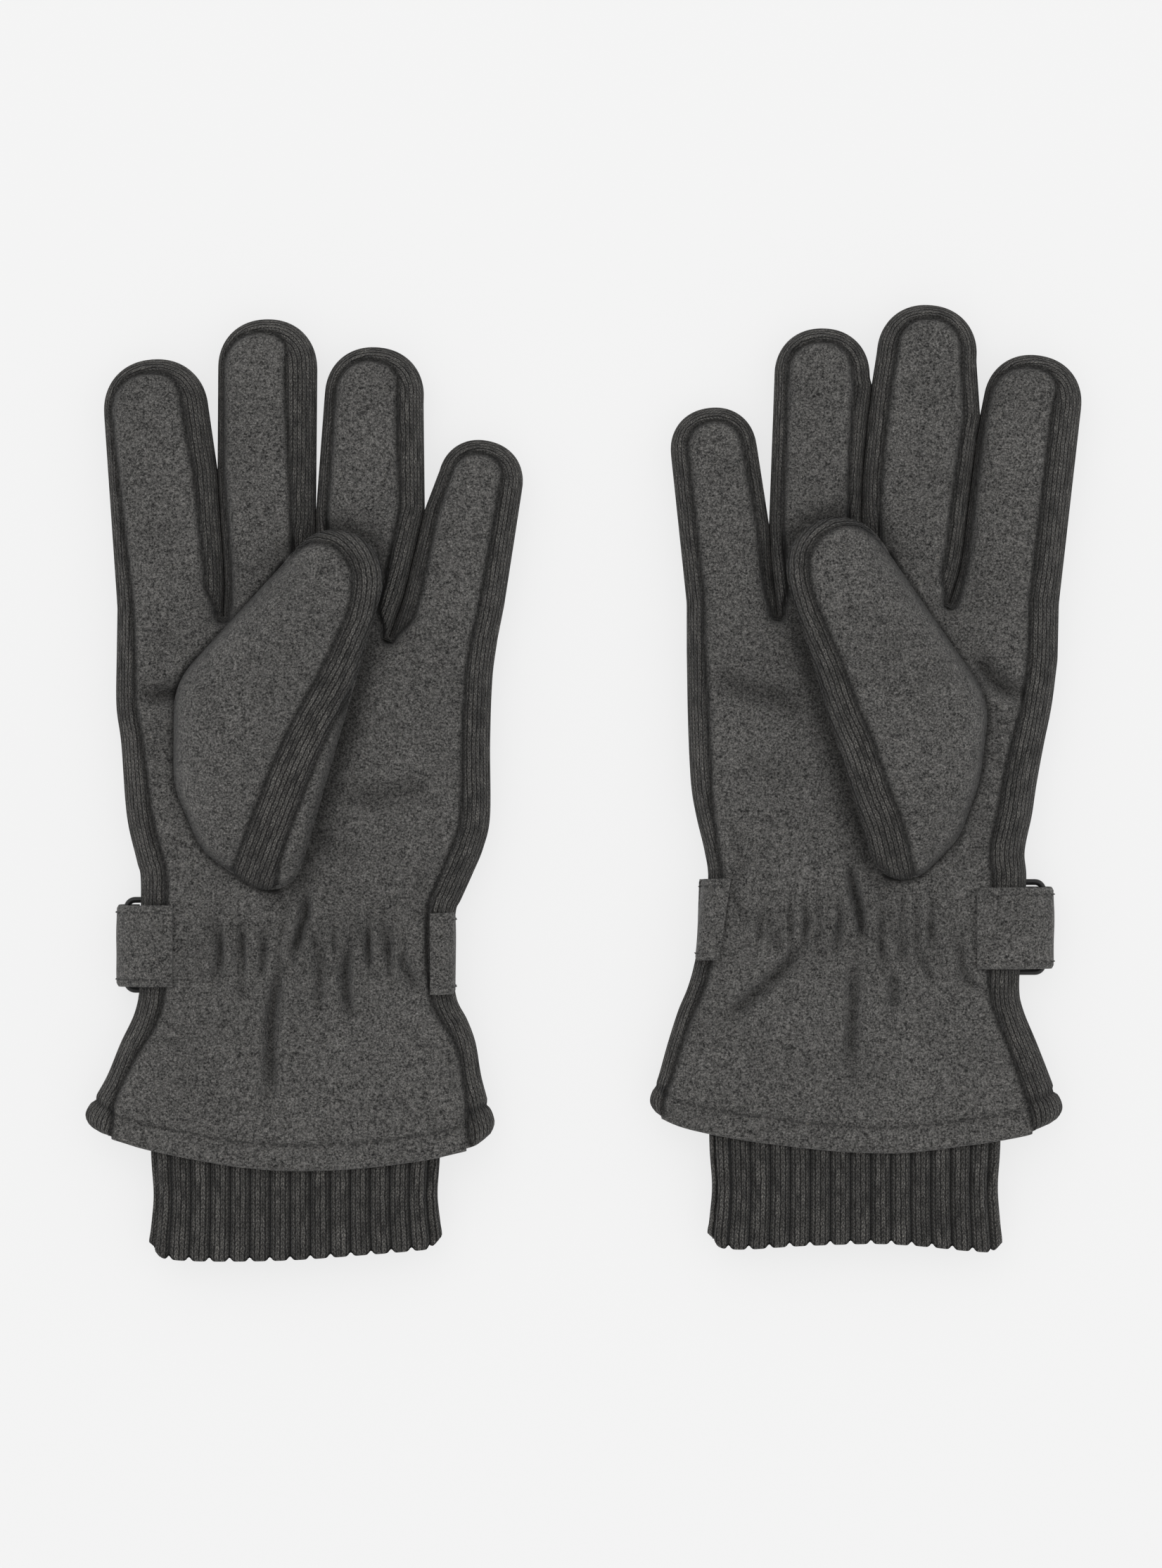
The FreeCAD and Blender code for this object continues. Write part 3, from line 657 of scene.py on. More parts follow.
def node(tree, kind, inputs=None, **settings):
    """A new node with its settings and inputs."""
    made = tree.nodes.new(kind)
    for key, value in settings.items():
        setattr(made, key, value)
    fill(tree, made, inputs or {})
    return made


def math_node(tree, operation, *values):
    """A sum, a product or the like, of numbers and sockets."""
    return node(tree, "ShaderNodeMath", dict(enumerate(values)), operation=operation).outputs[0]


def rest_place(tree, attribute="rest"):
    """The point's place on the cloth, in millimetres, which bending doesn't change."""
    return node(tree, "ShaderNodeAttribute", attribute_name=attribute).outputs["Vector"]


def noise_node(tree, place, scale, detail=2.0, roughness=0.5, distortion=0.0):
    """Noise from 0 to 1."""
    made = node(tree, "ShaderNodeTexNoise", {"Vector": place, "Scale": scale, "Detail": detail,
                                              "Roughness": roughness, "Distortion": distortion})
    return made.outputs["Fac"]


def ramp(tree, value, stops):
    """Colours blended between stops along a value."""
    made = node(tree, "ShaderNodeValToRGB", {"Fac": value})
    elements = made.color_ramp.elements
    while len(elements) < len(stops):
        elements.new(0.5)
    for element, (position, color) in zip(elements, stops):
        element.position = position
        element.color = (*color, 1)
    return made.outputs["Color"]


def mixed(tree, factor, a, b, blend="MIX"):
    """Two colours mixed, or combined by another blend mode."""
    made = node(tree, "ShaderNodeMix", {0: factor, 6: a, 7: b}, data_type="RGBA", blend_type=blend)
    return made.outputs[2]


def bump(tree, height, strength, distance, over=None):
    """A bump of some metres, on top of another one."""
    inputs = {"Height": height, "Strength": strength, "Distance": distance}
    if over is not None:
        inputs["Normal"] = over
    return node(tree, "ShaderNodeBump", inputs).outputs[0]


def spread(tree, value, low, high):
    """A value from 0 to 1 as one from low to high."""
    return node(tree, "ShaderNodeMapRange", {"Value": value, "To Min": low, "To Max": high}).outputs[0]


def darkened_by_painted_shade(tree, color, strength):
    """Darkens the colour by the depth attribute, which holds painted shade: seams, creases, gathers and the
    thumb's shadow.
    """
    depth = node(tree, "ShaderNodeAttribute", attribute_name="depth").outputs["Fac"]
    return mixed(tree, math_node(tree, "MULTIPLY", depth, strength), color, grey(0.006, 0.05))


def grey(value, warm=0.0):
    """A grey, warmed by a share of its value."""
    return (value * (1 + warm), value, value * (1 - 1.6 * warm))


def felt_material(name, dark=0.011, light=0.166):
    """Milled wool: a grey melange of darker and lighter fibres, with a short matted nap."""
    made, tree, shader = material(name)
    place = rest_place(tree)
    speckle = noise_node(tree, place, 1.55, 3.0, 0.72)
    cloud = noise_node(tree, place, 0.5, 2.0, 0.5)
    speckle, cloud = math_node(tree, "MULTIPLY", speckle, 0.82), math_node(tree, "MULTIPLY", cloud, 0.18)
    mottle = math_node(tree, "ADD", speckle, cloud)
    color = ramp(tree, mottle, [(0.37, grey(dark, 0.02)), (0.49, grey(0.43 * (dark + light), 0.025)),
                                (0.63, grey(light, 0.03))])
    fibre = noise_node(tree, place, 3.4, 3.0, 0.7, 1.2)
    fleck = ramp(tree, fibre, [(0.36, grey(0.36)), (0.52, grey(1.0)), (0.68, grey(2.0))])
    color = mixed(tree, 0.85, color, fleck, "MULTIPLY")
    broad = ramp(tree, noise_node(tree, place, 0.045, 2.0), [(0.3, grey(0.9)), (0.7, grey(1.08))])
    color = mixed(tree, 1.0, color, broad, "MULTIPLY")
    nep = math_node(tree, "GREATER_THAN", noise_node(tree, place, 1.25, 1.0), 0.735)
    color = mixed(tree, math_node(tree, "MULTIPLY", nep, 0.45), color, grey(0.20, 0.08))
    # painted shade from the depth attribute darkens the felt
    color = darkened_by_painted_shade(tree, color, 0.85)
    relief = bump(tree, mottle, 0.5, 0.0006, over=bump(tree, fibre, 0.55, 0.00035))
    fill(tree, shader, {"Base Color": color, "Normal": relief, "Roughness": spread(tree, fibre, 0.86, 1.0),
                        "Specular IOR Level": 0.15, "Sheen Weight": 0.12, "Sheen Roughness": 0.5})
    return made


def knit_material(name, dark=0.002, light=0.104, wale=WALE, course=COURSE):
    """Plain knitting: columns of V stitches. The stitch attribute is x along columns and y across them."""
    made, tree, shader = material(name)
    place = rest_place(tree, attribute="stitch")
    wobble = node(tree, "ShaderNodeTexNoise", {"Vector": place, "Scale": 0.5, "Detail": 2.0})
    shift = node(tree, "ShaderNodeVectorMath", {0: wobble.outputs["Color"], 1: (0.5, 0.5, 0.5)},
                 operation="SUBTRACT")
    shift = node(tree, "ShaderNodeVectorMath", {0: shift.outputs[0], "Scale": 0.9}, operation="SCALE")
    moved = node(tree, "ShaderNodeVectorMath", {0: place, 1: shift.outputs[0]}, operation="ADD")
    axes = node(tree, "ShaderNodeSeparateXYZ", {0: moved.outputs[0]})
    along, across = axes.outputs["X"], axes.outputs["Y"]
    column = math_node(tree, "FRACT", math_node(tree, "DIVIDE", across, wale))
    from_middle = math_node(tree, "ABSOLUTE", math_node(tree, "SUBTRACT", column, 0.5))
    from_leg = math_node(tree, "ABSOLUTE", math_node(tree, "SUBTRACT", from_middle, 0.19))
    leg = math_node(tree, "SUBTRACT", 1.15, math_node(tree, "MULTIPLY", from_leg, 3.9))
    leg = math_node(tree, "MINIMUM", math_node(tree, "MAXIMUM", leg, 0.0), 1.0)
    slant = math_node(tree, "MULTIPLY", from_middle, 1.7)
    slanted = math_node(tree, "ADD", math_node(tree, "DIVIDE", along, course), slant)
    row = math_node(tree, "FRACT", slanted)
    loop = math_node(tree, "SINE", math_node(tree, "MULTIPLY", row, math.pi))
    loop = math_node(tree, "POWER", loop, 0.8)
    loop = math_node(tree, "ADD", 0.25, math_node(tree, "MULTIPLY", loop, 0.75))
    height = math_node(tree, "MULTIPLY", leg, loop)
    yarn = noise_node(tree, rest_place(tree), 2.6, 3.0, 0.65)
    light_yarn = ramp(tree, yarn, [(0.34, grey(light * 0.3, 0.03)), (0.5, grey(light * 0.9, 0.04)),
                                   (0.68, grey(light * 2.2, 0.05))])
    which = math_node(tree, "FLOOR", math_node(tree, "DIVIDE", across, wale))
    strand = node(tree, "ShaderNodeCombineXYZ", {"X": math_node(tree, "MULTIPLY", along, 0.16),
                                                 "Y": math_node(tree, "MULTIPLY", which, 5.3)})
    uneven = ramp(tree, noise_node(tree, strand.outputs[0], 1.0, 1.0), [(0.3, grey(0.5)), (0.7, grey(1.6))])
    light_yarn = mixed(tree, 1.0, light_yarn, uneven, "MULTIPLY")
    # the yarn's own tone is light_yarn; the dark between the stitches' legs is painted shade in the gaps
    # between the loops
    color = mixed(tree, height, grey(dark, 0.03), light_yarn)
    cloud = noise_node(tree, rest_place(tree), 0.06, 2.0)
    broad = ramp(tree, cloud, [(0.3, grey(0.88)), (0.7, grey(1.1))])
    # painted shade from the depth attribute darkens the knit
    color = darkened_by_painted_shade(tree, mixed(tree, 1.0, color, broad, "MULTIPLY"), 0.9)
    relief = bump(tree, height, 0.9, 0.0007, over=bump(tree, yarn, 0.4, 0.0003))
    fill(tree, shader, {"Base Color": color, "Normal": relief, "Roughness": spread(tree, yarn, 0.82, 1.0),
                        "Specular IOR Level": 0.18, "Sheen Weight": 0.1, "Sheen Roughness": 0.5})
    return made


def plastic_material(name):
    """Black moulded plastic with a fine grain and light scuffs."""
    made, tree, shader = material(name)
    place = rest_place(tree)
    grain = noise_node(tree, place, 4.0, 3.0)
    scuff = noise_node(tree, place, 0.5, 4.0, 0.7)
    color = ramp(tree, scuff, [(0.4, grey(0.008)), (0.62, grey(0.016)), (0.8, grey(0.03))])
    fill(tree, shader, {"Base Color": color, "Normal": bump(tree, grain, 0.15, 0.0002),
                        "Roughness": spread(tree, scuff, 0.32, 0.6), "Specular IOR Level": 0.45})
    return made


def thread_material(name):
    """Twisted sewing thread, dark grey."""
    made, tree, shader = material(name)
    place = rest_place(tree)
    strands = node(tree, "ShaderNodeTexWave", {"Vector": place, "Scale": 1.6, "Distortion": 1.5,
                                               "Detail": 1.0}, bands_direction="DIAGONAL")
    twist = strands.outputs["Fac"]
    color = ramp(tree, twist, [(0.2, grey(0.012, 0.03)), (0.8, grey(0.045, 0.03))])
    fill(tree, shader, {"Base Color": color, "Normal": bump(tree, twist, 0.5, 0.0001), "Roughness": 0.75})
    return made


def jersey_material(name, base=0.02):
    """Brushed jersey, for the linings, and the narrow elastic: fine columns under a short pile."""
    made, tree, shader = material(name)
    coordinates = node(tree, "ShaderNodeTexCoord").outputs["Object"]
    pile = noise_node(tree, coordinates, 1400.0, 3.0, 0.7)
    columns = node(tree, "ShaderNodeTexWave", {"Vector": coordinates, "Scale": 220.0, "Distortion": 1.0})
    color = ramp(tree, pile, [(0.3, grey(base * 0.6)), (0.5, grey(base)), (0.75, grey(base * 1.7))])
    color = mixed(tree, 0.25, color, columns.outputs["Color"], "MULTIPLY")
    fill(tree, shader, {"Base Color": color, "Normal": bump(tree, pile, 0.5, 0.0004), "Roughness": 0.95,
                        "Sheen Weight": 0.2})
    return made


FELT = felt_material("wool_felt")
KNIT = knit_material("stockinette_knit")
RIB = knit_material("rib_knit", wale=RIB_PITCH / 4, course=1.4)
STRAP_FELT = felt_material("strap_felt")
PLASTIC = plastic_material("ring_plastic")
THREAD = thread_material("sewing_thread")
JERSEY = jersey_material("lining_jersey")
ELASTIC = jersey_material("white_elastic", 0.5)


def ride_finger(obj):
    """Bakes a finger piece's placement into its mesh."""
    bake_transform(obj)


def hem_y(glove, x):
    """The hem's edge: y at each x."""
    line = smooth_curve(glove["hem"], 0.5)
    return np.interp(x, line[:, 0], line[:, 1])


def owners_of(glove, points, root):
    """Which body each point of the cloth belongs to: the hand up to the root row, then the nearest finger."""
    distances = []
    for name in FINGERS:
        (bx, by, br), (tx, ty, tr) = glove["fingers"][name]["base"], glove["fingers"][name]["tip"]
        base, span = np.array([bx, by]), np.array([tx - bx, ty - by])
        t = np.clip(((points[:, :2] - base) @ span) / (span @ span), 0, 1)
        from_middle = np.linalg.norm(points[:, :2] - base - t[:, None] * span, axis=1)
        distances.append(from_middle - (br + (tr - br) * t))
    names = np.array(FINGERS, dtype=object)[np.argmin(distances, axis=0)]
    return np.where(points[:, 1] > root, names, "hand")


def closed_rim(shape, stride):
    """Every stride-th sample of the outline, closed far below the hem."""
    points = shape["points"]
    return np.concatenate([points[::stride], [[points[-1][0], -200], [points[0][0], -200]]])


def painted_seam_shade(to_seam):
    """Painted shade beside a seam, 1 on the seam: a dark line standing in for the shadow in its groove."""
    return np.exp(-((np.abs(to_seam) / 0.95) ** 2))


def felt_sheets(side, glove, shape, tree, face):
    """Felt of the palm side (face 1) or back (face -1): one sheet for the hand, and one per finger."""
    def facts(points):
        distance, nearest = nearest_on(tree, points)
        return distance, distance - shape["width"][nearest]

    rim = closed_rim(shape, 2)

    def level(points):
        _, to_seam = facts(points)
        value = np.where(inside_polygon(points, rim), to_seam + SEAM_TUCK, -3.0)
        return np.minimum(value, points[:, 1] - hem_y(glove, points[:, 0]))

    xs, ys = shape["points"][:, 0], shape["points"][:, 1]
    points, faces = clipped_grid(level, (xs.min(), xs.max()), (ys.min() - 16, ys.max()))
    row = math.floor(ROOT_LINE / CELL) * CELL
    made = {}
    label = "palm" if face > 0 else "back"
    parts = split_faces(points, faces, lambda q: owners_of(glove, q, row))
    for owner, (part, part_faces) in parts.items():
        distance, to_seam = facts(part)
        z = skin(glove, part, distance, to_seam, face)
        from_hem = part[:, 1] - hem_y(glove, part[:, 0])
        stitched = np.exp(-(((from_hem - HEM_WIDTH) / 0.9) ** 2))
        z = z - face * 0.5 * stitched
        # painted shade at the seams and along the hem's stitch line, and on the palm in its creases, gathers
        # and round the thumb
        shade = painted_seam_shade(to_seam) + 0.3 * stitched
        if face > 0:
            shade = shade + 0.22 * np.clip(gathers(glove, part), 0, None) + thumb_painted_shade(glove, part)
        vertices = np.column_stack([part, z])
        if face < 0:
            part_faces = [f[::-1] for f in part_faces]
        name = f"{side}_{label}_felt" if owner == "hand" else f"{side}_{owner}_{label}_felt"
        made[owner] = mesh_object(name, vertices, part_faces, FELT, shade=shade)
    return made


def wale_ridges(vertices, across):
    """Stands the columns of stitches out from a lattice, except beside its two long edges."""
    d_row, d_column = np.gradient(vertices, axis=0), np.gradient(vertices, axis=1)
    normal = np.cross(d_row, d_column)
    normal /= np.linalg.norm(normal, axis=2)[:, :, None] + 1e-9
    middle = normal.shape[1] // 4
    if normal[:, middle, 2].mean() < 0:
        normal = -normal
    ridge = np.abs(np.sin(math.pi * across / WALE)) ** 0.6 - 0.6
    fade = ease((across - across[:, [0]]) / 1.0) * ease((across[:, [-1]] - across) / 1.0)
    return vertices + normal * (WALE_DEPTH * ridge * fade)[:, :, None]


def running_length(vertices):
    """Length along each row of a lattice, 0 at its middle column."""
    steps = np.linalg.norm(np.diff(vertices, axis=1), axis=2)
    across = np.concatenate([np.zeros((vertices.shape[0], 1)), np.cumsum(steps, axis=1)], axis=1)
    return across - across[:, [vertices.shape[1] // 2]]


def strip_profile(width, columns):
    """A strip's section from its top seam to its bottom one: distances from the outline, and faces."""
    half = columns // 2
    t = np.linspace(0, 1, half + 1)
    inside = np.concatenate([width * (1 - t) ** 1.35, width * t[1:] ** 1.35])
    face = np.concatenate([np.ones(half + 1), -np.ones(half)])
    return inside, face


def knit_strip(glove, shape, low, high, name, hem_end=None):
    """A knitted strip that follows the outline from sample low to sample high, with real columns of stitches.

    hem_end (0 or -1) is the row that lies at the hem, where the strip bulges and is closed."""
    samples = strip_rows(shape, low, high)
    columns = STRIP_COLUMNS
    rows = []
    for k in samples:
        inside, face = strip_profile(shape["width"][k] + 0.6, columns)
        plan = shape["points"][k] + shape["normals"][k] * inside[:, None]
        rows.append(np.column_stack([plan, inside, face]))
    rows = np.array(rows)
    flat = rows.reshape(-1, 4)
    seam = np.abs(flat[:, 2] - np.repeat(shape["width"][samples], columns + 1))
    z = np.empty(len(flat))
    for face in (1, -1):
        pick = flat[:, 3] == face
        z[pick] = skin(glove, flat[pick, :2], flat[pick, 2], seam[pick], face)
    vertices = np.column_stack([flat[:, :2], z]).reshape(len(samples), columns + 1, 3)
    across = running_length(vertices)
    vertices = wale_ridges(vertices, across)
    along = np.repeat(shape["at"][samples], columns + 1).reshape(across.shape)
    # painted shade beside the strip's seams
    shade = painted_seam_shade(seam).reshape(across.shape)
    if hem_end is not None:
        vertices, shade = rounded_end(glove, vertices, along, shade, hem_end)
    uv = np.column_stack([along.ravel(), across.ravel()])
    faces = lattice_faces(len(samples), columns + 1)
    return mesh_object(name, vertices.reshape(-1, 3), faces, KNIT, uv, shade.ravel())


def rounded_end(glove, vertices, along, shade, end):
    """Brings a strip's end down to the hem's line with a bulge and a round corner, and closes it."""
    from_end = np.abs(along - along[end, 0])
    drop = hem_y(glove, vertices[end, :, 0]) - 0.6 - vertices[end, :, 1]
    vertices = vertices.copy()
    vertices[:, :, 1] += drop * (1 - ease(from_end / 10))
    inner = (vertices[:, [0]] + vertices[:, [-1]]) / 2
    width = np.linalg.norm((vertices[:, [vertices.shape[1] // 2]] - inner)[:, :, :2], axis=2)
    fold = np.exp(-(((from_end - HEM_BULGE) / 0.8) ** 2))
    swell = 1 + 0.1 * np.sin(math.pi * np.clip(from_end / HEM_BULGE, 0, 1)) - 0.08 * fold
    corner = 1 - HEM_CORNER / width * (1 - bulge(from_end / HEM_CORNER))
    from_inner = vertices[:, :, :2] - inner[:, :, :2]
    vertices[:, :, :2] = inner[:, :, :2] + from_inner * (swell * corner)[:, :, None]
    vertices[:, :, 2] = MIDDLE + (vertices[:, :, 2] - MIDDLE) * (0.03 + 0.97 * bulge(from_end / 2.0))
    # painted shade in the fold above the strip's bulging end
    return vertices, shade + 0.9 * fold


def knit_strips(side, glove, shape):
    """All knitted strips of the shell: the two edges of the hand, and one round each finger."""
    points = shape["points"]
    names = ordered_fingers(glove)
    made = {}
    above = points[:, 1] >= ROOT_LINE
    limits = [0]
    for name in names:
        x, y, radius = glove["fingers"][name]["tip"]
        low = high = int(np.argmin(np.linalg.norm(points - np.array([x, y + radius]), axis=1)))
        while low > 0 and above[low - 1]:
            low -= 1
        while high < len(points) - 1 and above[high + 1]:
            high += 1
        made[name] = knit_strip(glove, shape, low, high, f"{side}_{name}_knit")
        limits += [low, high]
    limits.append(len(points) - 1)
    labels = ["west", "web_a", "web_b", "web_c", "east"]
    for label, low, high in zip(labels, limits[::2], limits[1::2]):
        end = {"west": 0, "east": -1}.get(label)
        made[label] = knit_strip(glove, shape, low, high, f"{side}_{label}_knit", end)
    return made


# Hem, cuff, thumb, strap --------------------------------------------------------------------------
def hem_edge(side, glove, shape, tree, face):
    """The turned edge of the gauntlet: round the fold and back up inside."""
    west_knit, east_knit = (table[0][1] - 0.5 for table in glove["side_knit"])
    xs = np.arange(glove["west"][0][0] + west_knit, glove["east"][0][0] - east_knit, 0.8)
    line = np.column_stack([xs, hem_y(glove, xs)])
    inset = line + np.array([0, HEM_INSET])
    distance, nearest = nearest_on(tree, inset)
    to_seam = np.abs(distance - shape["width"][nearest])
    z = skin(glove, inset, distance, to_seam, face)
    inward = -face
    turn = [(HEM_INSET, 0.0), (0.0, 0.1), (-0.7, 0.5), (-0.95, 1.1), (-0.7, 1.7), (0.0, 2.05), (2.0, 2.1),
            (HEM_WIDTH + 1, 1.9)]
    rows = [np.column_stack([xs, line[:, 1] + dy, z + inward * dz]) for dy, dz in turn]
    vertices = np.array(rows).reshape(-1, 3)
    label = "palm" if face > 0 else "back"
    return mesh_object(f"{side}_{label}_hem", vertices, lattice_faces(len(rows), len(xs)), FELT)


def stitch_beads(points, length=2.2, gap=1.3, radius=0.22, sink=0.05):
    """Vertices and faces of a row of stitches along a polyline in space, each a short bead of thread."""
    even, at = resample(np.asarray(points, float), 0.25)
    vertices, faces = [], []
    position = gap
    while position + length < at[-1]:
        places = [position + length * t for t in BEAD_PLACES]
        section = [np.array([np.interp(place, at, even[:, k]) for k in range(3)]) for place in places]
        direction = section[-1] - section[0]
        direction /= np.linalg.norm(direction)
        sideways = np.cross(direction, (0.02, 0, 1))
        sideways /= np.linalg.norm(sideways) + 1e-9
        up = np.cross(sideways, direction)
        start = len(vertices)
        for centre, (thick, lift) in zip(section, BEAD_PROFILE):
            for k in range(6):
                turn = sideways * math.cos(math.pi * k / 3) + up * math.sin(math.pi * k / 3)
                vertices.append(centre + turn * radius * thick + up * (radius * lift - sink))
        faces += [tuple(start + k for k in f) for f in lattice_faces(5, 6, closed_columns=True)]
        faces.append(tuple(start + k for k in range(6))[::-1])
        faces.append(tuple(start + 24 + k for k in range(6)))
        position += length + gap
    return vertices, faces


def stitch_lines(name, lines):
    """One mesh with a row of stitches along each of several polylines."""
    vertices, faces = [], []
    for line in lines:
        beads, bead_faces = stitch_beads(line)
        faces += [tuple(k + len(vertices) for k in f) for f in bead_faces]
        vertices += beads
    return mesh_object(name, np.array(vertices), faces, THREAD)


def lining_bags(side, glove, shape, tree):
    """The inner glove of jersey, a little smaller all round: hand, and one bag per finger."""
    drop = LINING_DROP
    rim = closed_rim(shape, 4)
    start = glove["strap_y"] - 25.0

    def level(points):
        distance, _ = nearest_on(tree, points)
        value = np.where(inside_polygon(points, rim), distance - drop, -3.0)
        return np.minimum(value, points[:, 1] - start)

    xs, ys = shape["points"][:, 0], shape["points"][:, 1]
    points, faces = clipped_grid(level, (xs.min(), xs.max()), (start, ys.max()), COARSE_CELL)
    row = math.floor(ROOT_LINE / COARSE_CELL) * COARSE_CELL
    made = {}
    parts = split_faces(points, faces, lambda q: owners_of(glove, q, row))
    for owner, (part, part_faces) in parts.items():
        distance, _ = nearest_on(tree, part)
        close = bulge((distance - drop) / 7.0)
        halves = []
        for face in (1, -1):
            z = skin(glove, part, distance, np.full(len(part), NO_SEAM), face) - face * drop
            halves.append(np.column_stack([part, MIDDLE + (z - MIDDLE) * close]))
        part_faces = two_layers(part_faces, len(part))
        made[owner] = mesh_object(f"{side}_{owner}_inner_lining", np.concatenate(halves), part_faces, JERSEY)
    return made


def elastic_ribbon(side, glove, tree):
    """The flat elastic under the gathers of the palm panel."""
    west, east = glove["elastic"]
    xs, ys = np.arange(west, east + 0.1, 0.8), glove["strap_y"] + np.linspace(-4, 4, 9)
    gx, gy = np.meshgrid(xs, ys, indexing="ij")
    plan = np.column_stack([gx.ravel(), gy.ravel()])
    distance, _ = nearest_on(tree, plan)
    top = skin(glove, plan, distance, np.full(len(plan), NO_SEAM), 1) - 2.15
    vertices = np.concatenate([np.column_stack([plan, top]), np.column_stack([plan, top - 0.4])])
    faces = two_layers(lattice_faces(len(xs), len(ys)), len(plan))
    return mesh_object(f"{side}_elastic_ribbon", vertices, faces, ELASTIC)


def cuff_section(west, east):
    """The cuff's flattened ring: points (x, z, normal x, normal z), the length to each, and ribs passed."""
    middle_z = (CUFF_LOW + CUFF_HIGH) / 2
    radius = (CUFF_HIGH - CUFF_LOW) / 2
    straight, arc = east - west - 2 * radius, math.pi * radius
    total = 2 * straight + 2 * arc
    ribs = round(total / RIB_PITCH)
    columns = ribs * RIB_COLUMNS
    ts = np.arange(columns) / columns * total
    ring = []
    for t in ts:
        if t < straight:
            x, angle = west + radius + t, math.pi / 2
        elif t < straight + arc:
            x, angle = east - radius, math.pi / 2 - (t - straight) / radius
        elif t < 2 * straight + arc:
            x, angle = east - radius - (t - straight - arc), -math.pi / 2
        else:
            x, angle = west + radius, -math.pi / 2 - (t - 2 * straight - arc) / radius
        c, s = math.cos(angle), math.sin(angle)
        ring.append((x + radius * c, middle_z + radius * s, c, s))
    return np.array(ring), ts, ts / total * ribs


def rib_cuff(side, glove):
    """A flat ribbed tube with its own wall: out round the scalloped end and back up inside."""
    west, east = glove["cuff"]
    end = min(y for _, y in glove["cuff_end"])
    start = glove["strap_y"] - CUFF_START
    ring, ts, phase = cuff_section(west, east)
    from_groove = (phase - np.round(phase)) * RIB_PITCH
    groove = np.exp(-((from_groove / 0.8) ** 2))
    stitches = np.abs(np.sin(math.pi * (phase * 4))) ** 0.7
    hollow = np.exp(-((from_groove / 1.2) ** 2))
    relief = 0.3 + 0.3 * stitches - RIB_DEPTH * hollow
    ys = np.arange(end, start, CUFF_STEP)
    end_line = smooth_curve(glove["cuff_end"], 1.0)
    shift = np.interp(ring[:, 0], end_line[:, 0], end_line[:, 1]) - end
    corner = 3.6 * (1 - bulge(np.minimum(ring[:, 0] - west, east - ring[:, 0]) / 4.5))
    from_middle = ring[:, 0] - (west + east) / 2
    waist = 0.9 * np.sign(from_middle) * (np.abs(from_middle) / ((east - west) / 2)) ** 4
    rows, uv, shade = [], [], []
    for inner in (False, True):
        for y in (ys if inner else ys[::-1]):
            rise = y - end
            scallop = 1.2 * groove * math.exp(-rise / 2.5)
            lip = 1.3 * (1 - math.sqrt(max(0.0, 1 - (1 - min(rise / 1.3, 1.0)) ** 2)))
            flare = 1 + 0.012 * math.exp(-((rise / 7.0) ** 2))
            offset = (lip - CUFF_WALL) if inner else (relief - lip)
            wobble = [0.35 * noise.noise(Vector((x / 22, y / 16, 4.4 + z / 30))) for x, z in ring[:, :2]]
            x = from_middle * flare + (west + east) / 2 + ring[:, 2] * offset
            x = x - waist * math.exp(-(((rise - 20) / 9) ** 2))
            moved = shift * (1 - ease(rise / 26)) + corner * (1 - ease(rise / 9))
            under = np.column_stack([x, y + scallop + moved])
            sunk = np.clip(gathers(glove, under), 0, None) * ease((under[:, 1] - hem_y(glove, x) + 5) / 5)
            z = ring[:, 1] + ring[:, 3] * (offset + np.array(wobble))
            z = z - np.clip(ring[:, 3], 0, 1) * (sunk + 0.4)
            rows.append(np.column_stack([x, y + scallop + moved, z]))
            uv.append(np.column_stack([np.full(len(ts), y), ts]))
            # painted shade in the rib grooves, and over the whole inside of the cuff
            shade.append(groove + (0.6 if inner else 0.0))
    faces = lattice_faces(len(rows), len(ts), closed_columns=True)
    uv, shade = np.concatenate(uv), np.concatenate(shade)
    return mesh_object(f"{side}_rib_cuff_knit", np.concatenate(rows), faces, RIB, uv, shade)


def hull_outline(circles, step=0.5):
    """The closed outline round circles listed anticlockwise: even samples and their lengths along it."""
    points = []
    count = len(circles)
    normals = []
    for i in range(count):
        (x0, y0, r0), (x1, y1, r1) = circles[i], circles[(i + 1) % count]
        along = np.array([x1 - x0, y1 - y0], float)
        length = np.linalg.norm(along)
        along /= length
        out = np.array([along[1], -along[0]])
        lean = (r0 - r1) / length
        normals.append(out * math.sqrt(1 - lean * lean) + along * lean)
    for i in range(count):
        x, y, radius = circles[i]
        first = math.atan2(*normals[i - 1][::-1])
        turn = (math.atan2(*normals[i][::-1]) - first) % (2 * math.pi)
        for angle in np.linspace(first, first + turn, max(4, int(turn * radius / 1.0))):
            points.append((x + radius * math.cos(angle), y + radius * math.sin(angle)))
    points = np.array(points + points[:1])
    even, at = resample(points, step)
    return even[:-1], at[:-1]


def thumb_rim(glove):
    """The thumb's outline, and search trees of the part sewn to the palm and of the free part."""
    points, at = hull_outline(glove["thumb"])
    points = np.stack([blurred(points[:, k], 4, closed=True) for k in (0, 1)], axis=1)
    low_end, high_end = (int(np.argmin(np.linalg.norm(points - end, axis=1))) for end in glove["thumb_seam"])
    index = np.arange(len(points))
    if glove["radial"] < 0:
        sewn = (index - high_end) % len(points) <= (low_end - high_end) % len(points)
    else:
        sewn = (index - low_end) % len(points) <= (high_end - low_end) % len(points)
    return points, at, tree_of(points[sewn]), tree_of(points[~sewn])


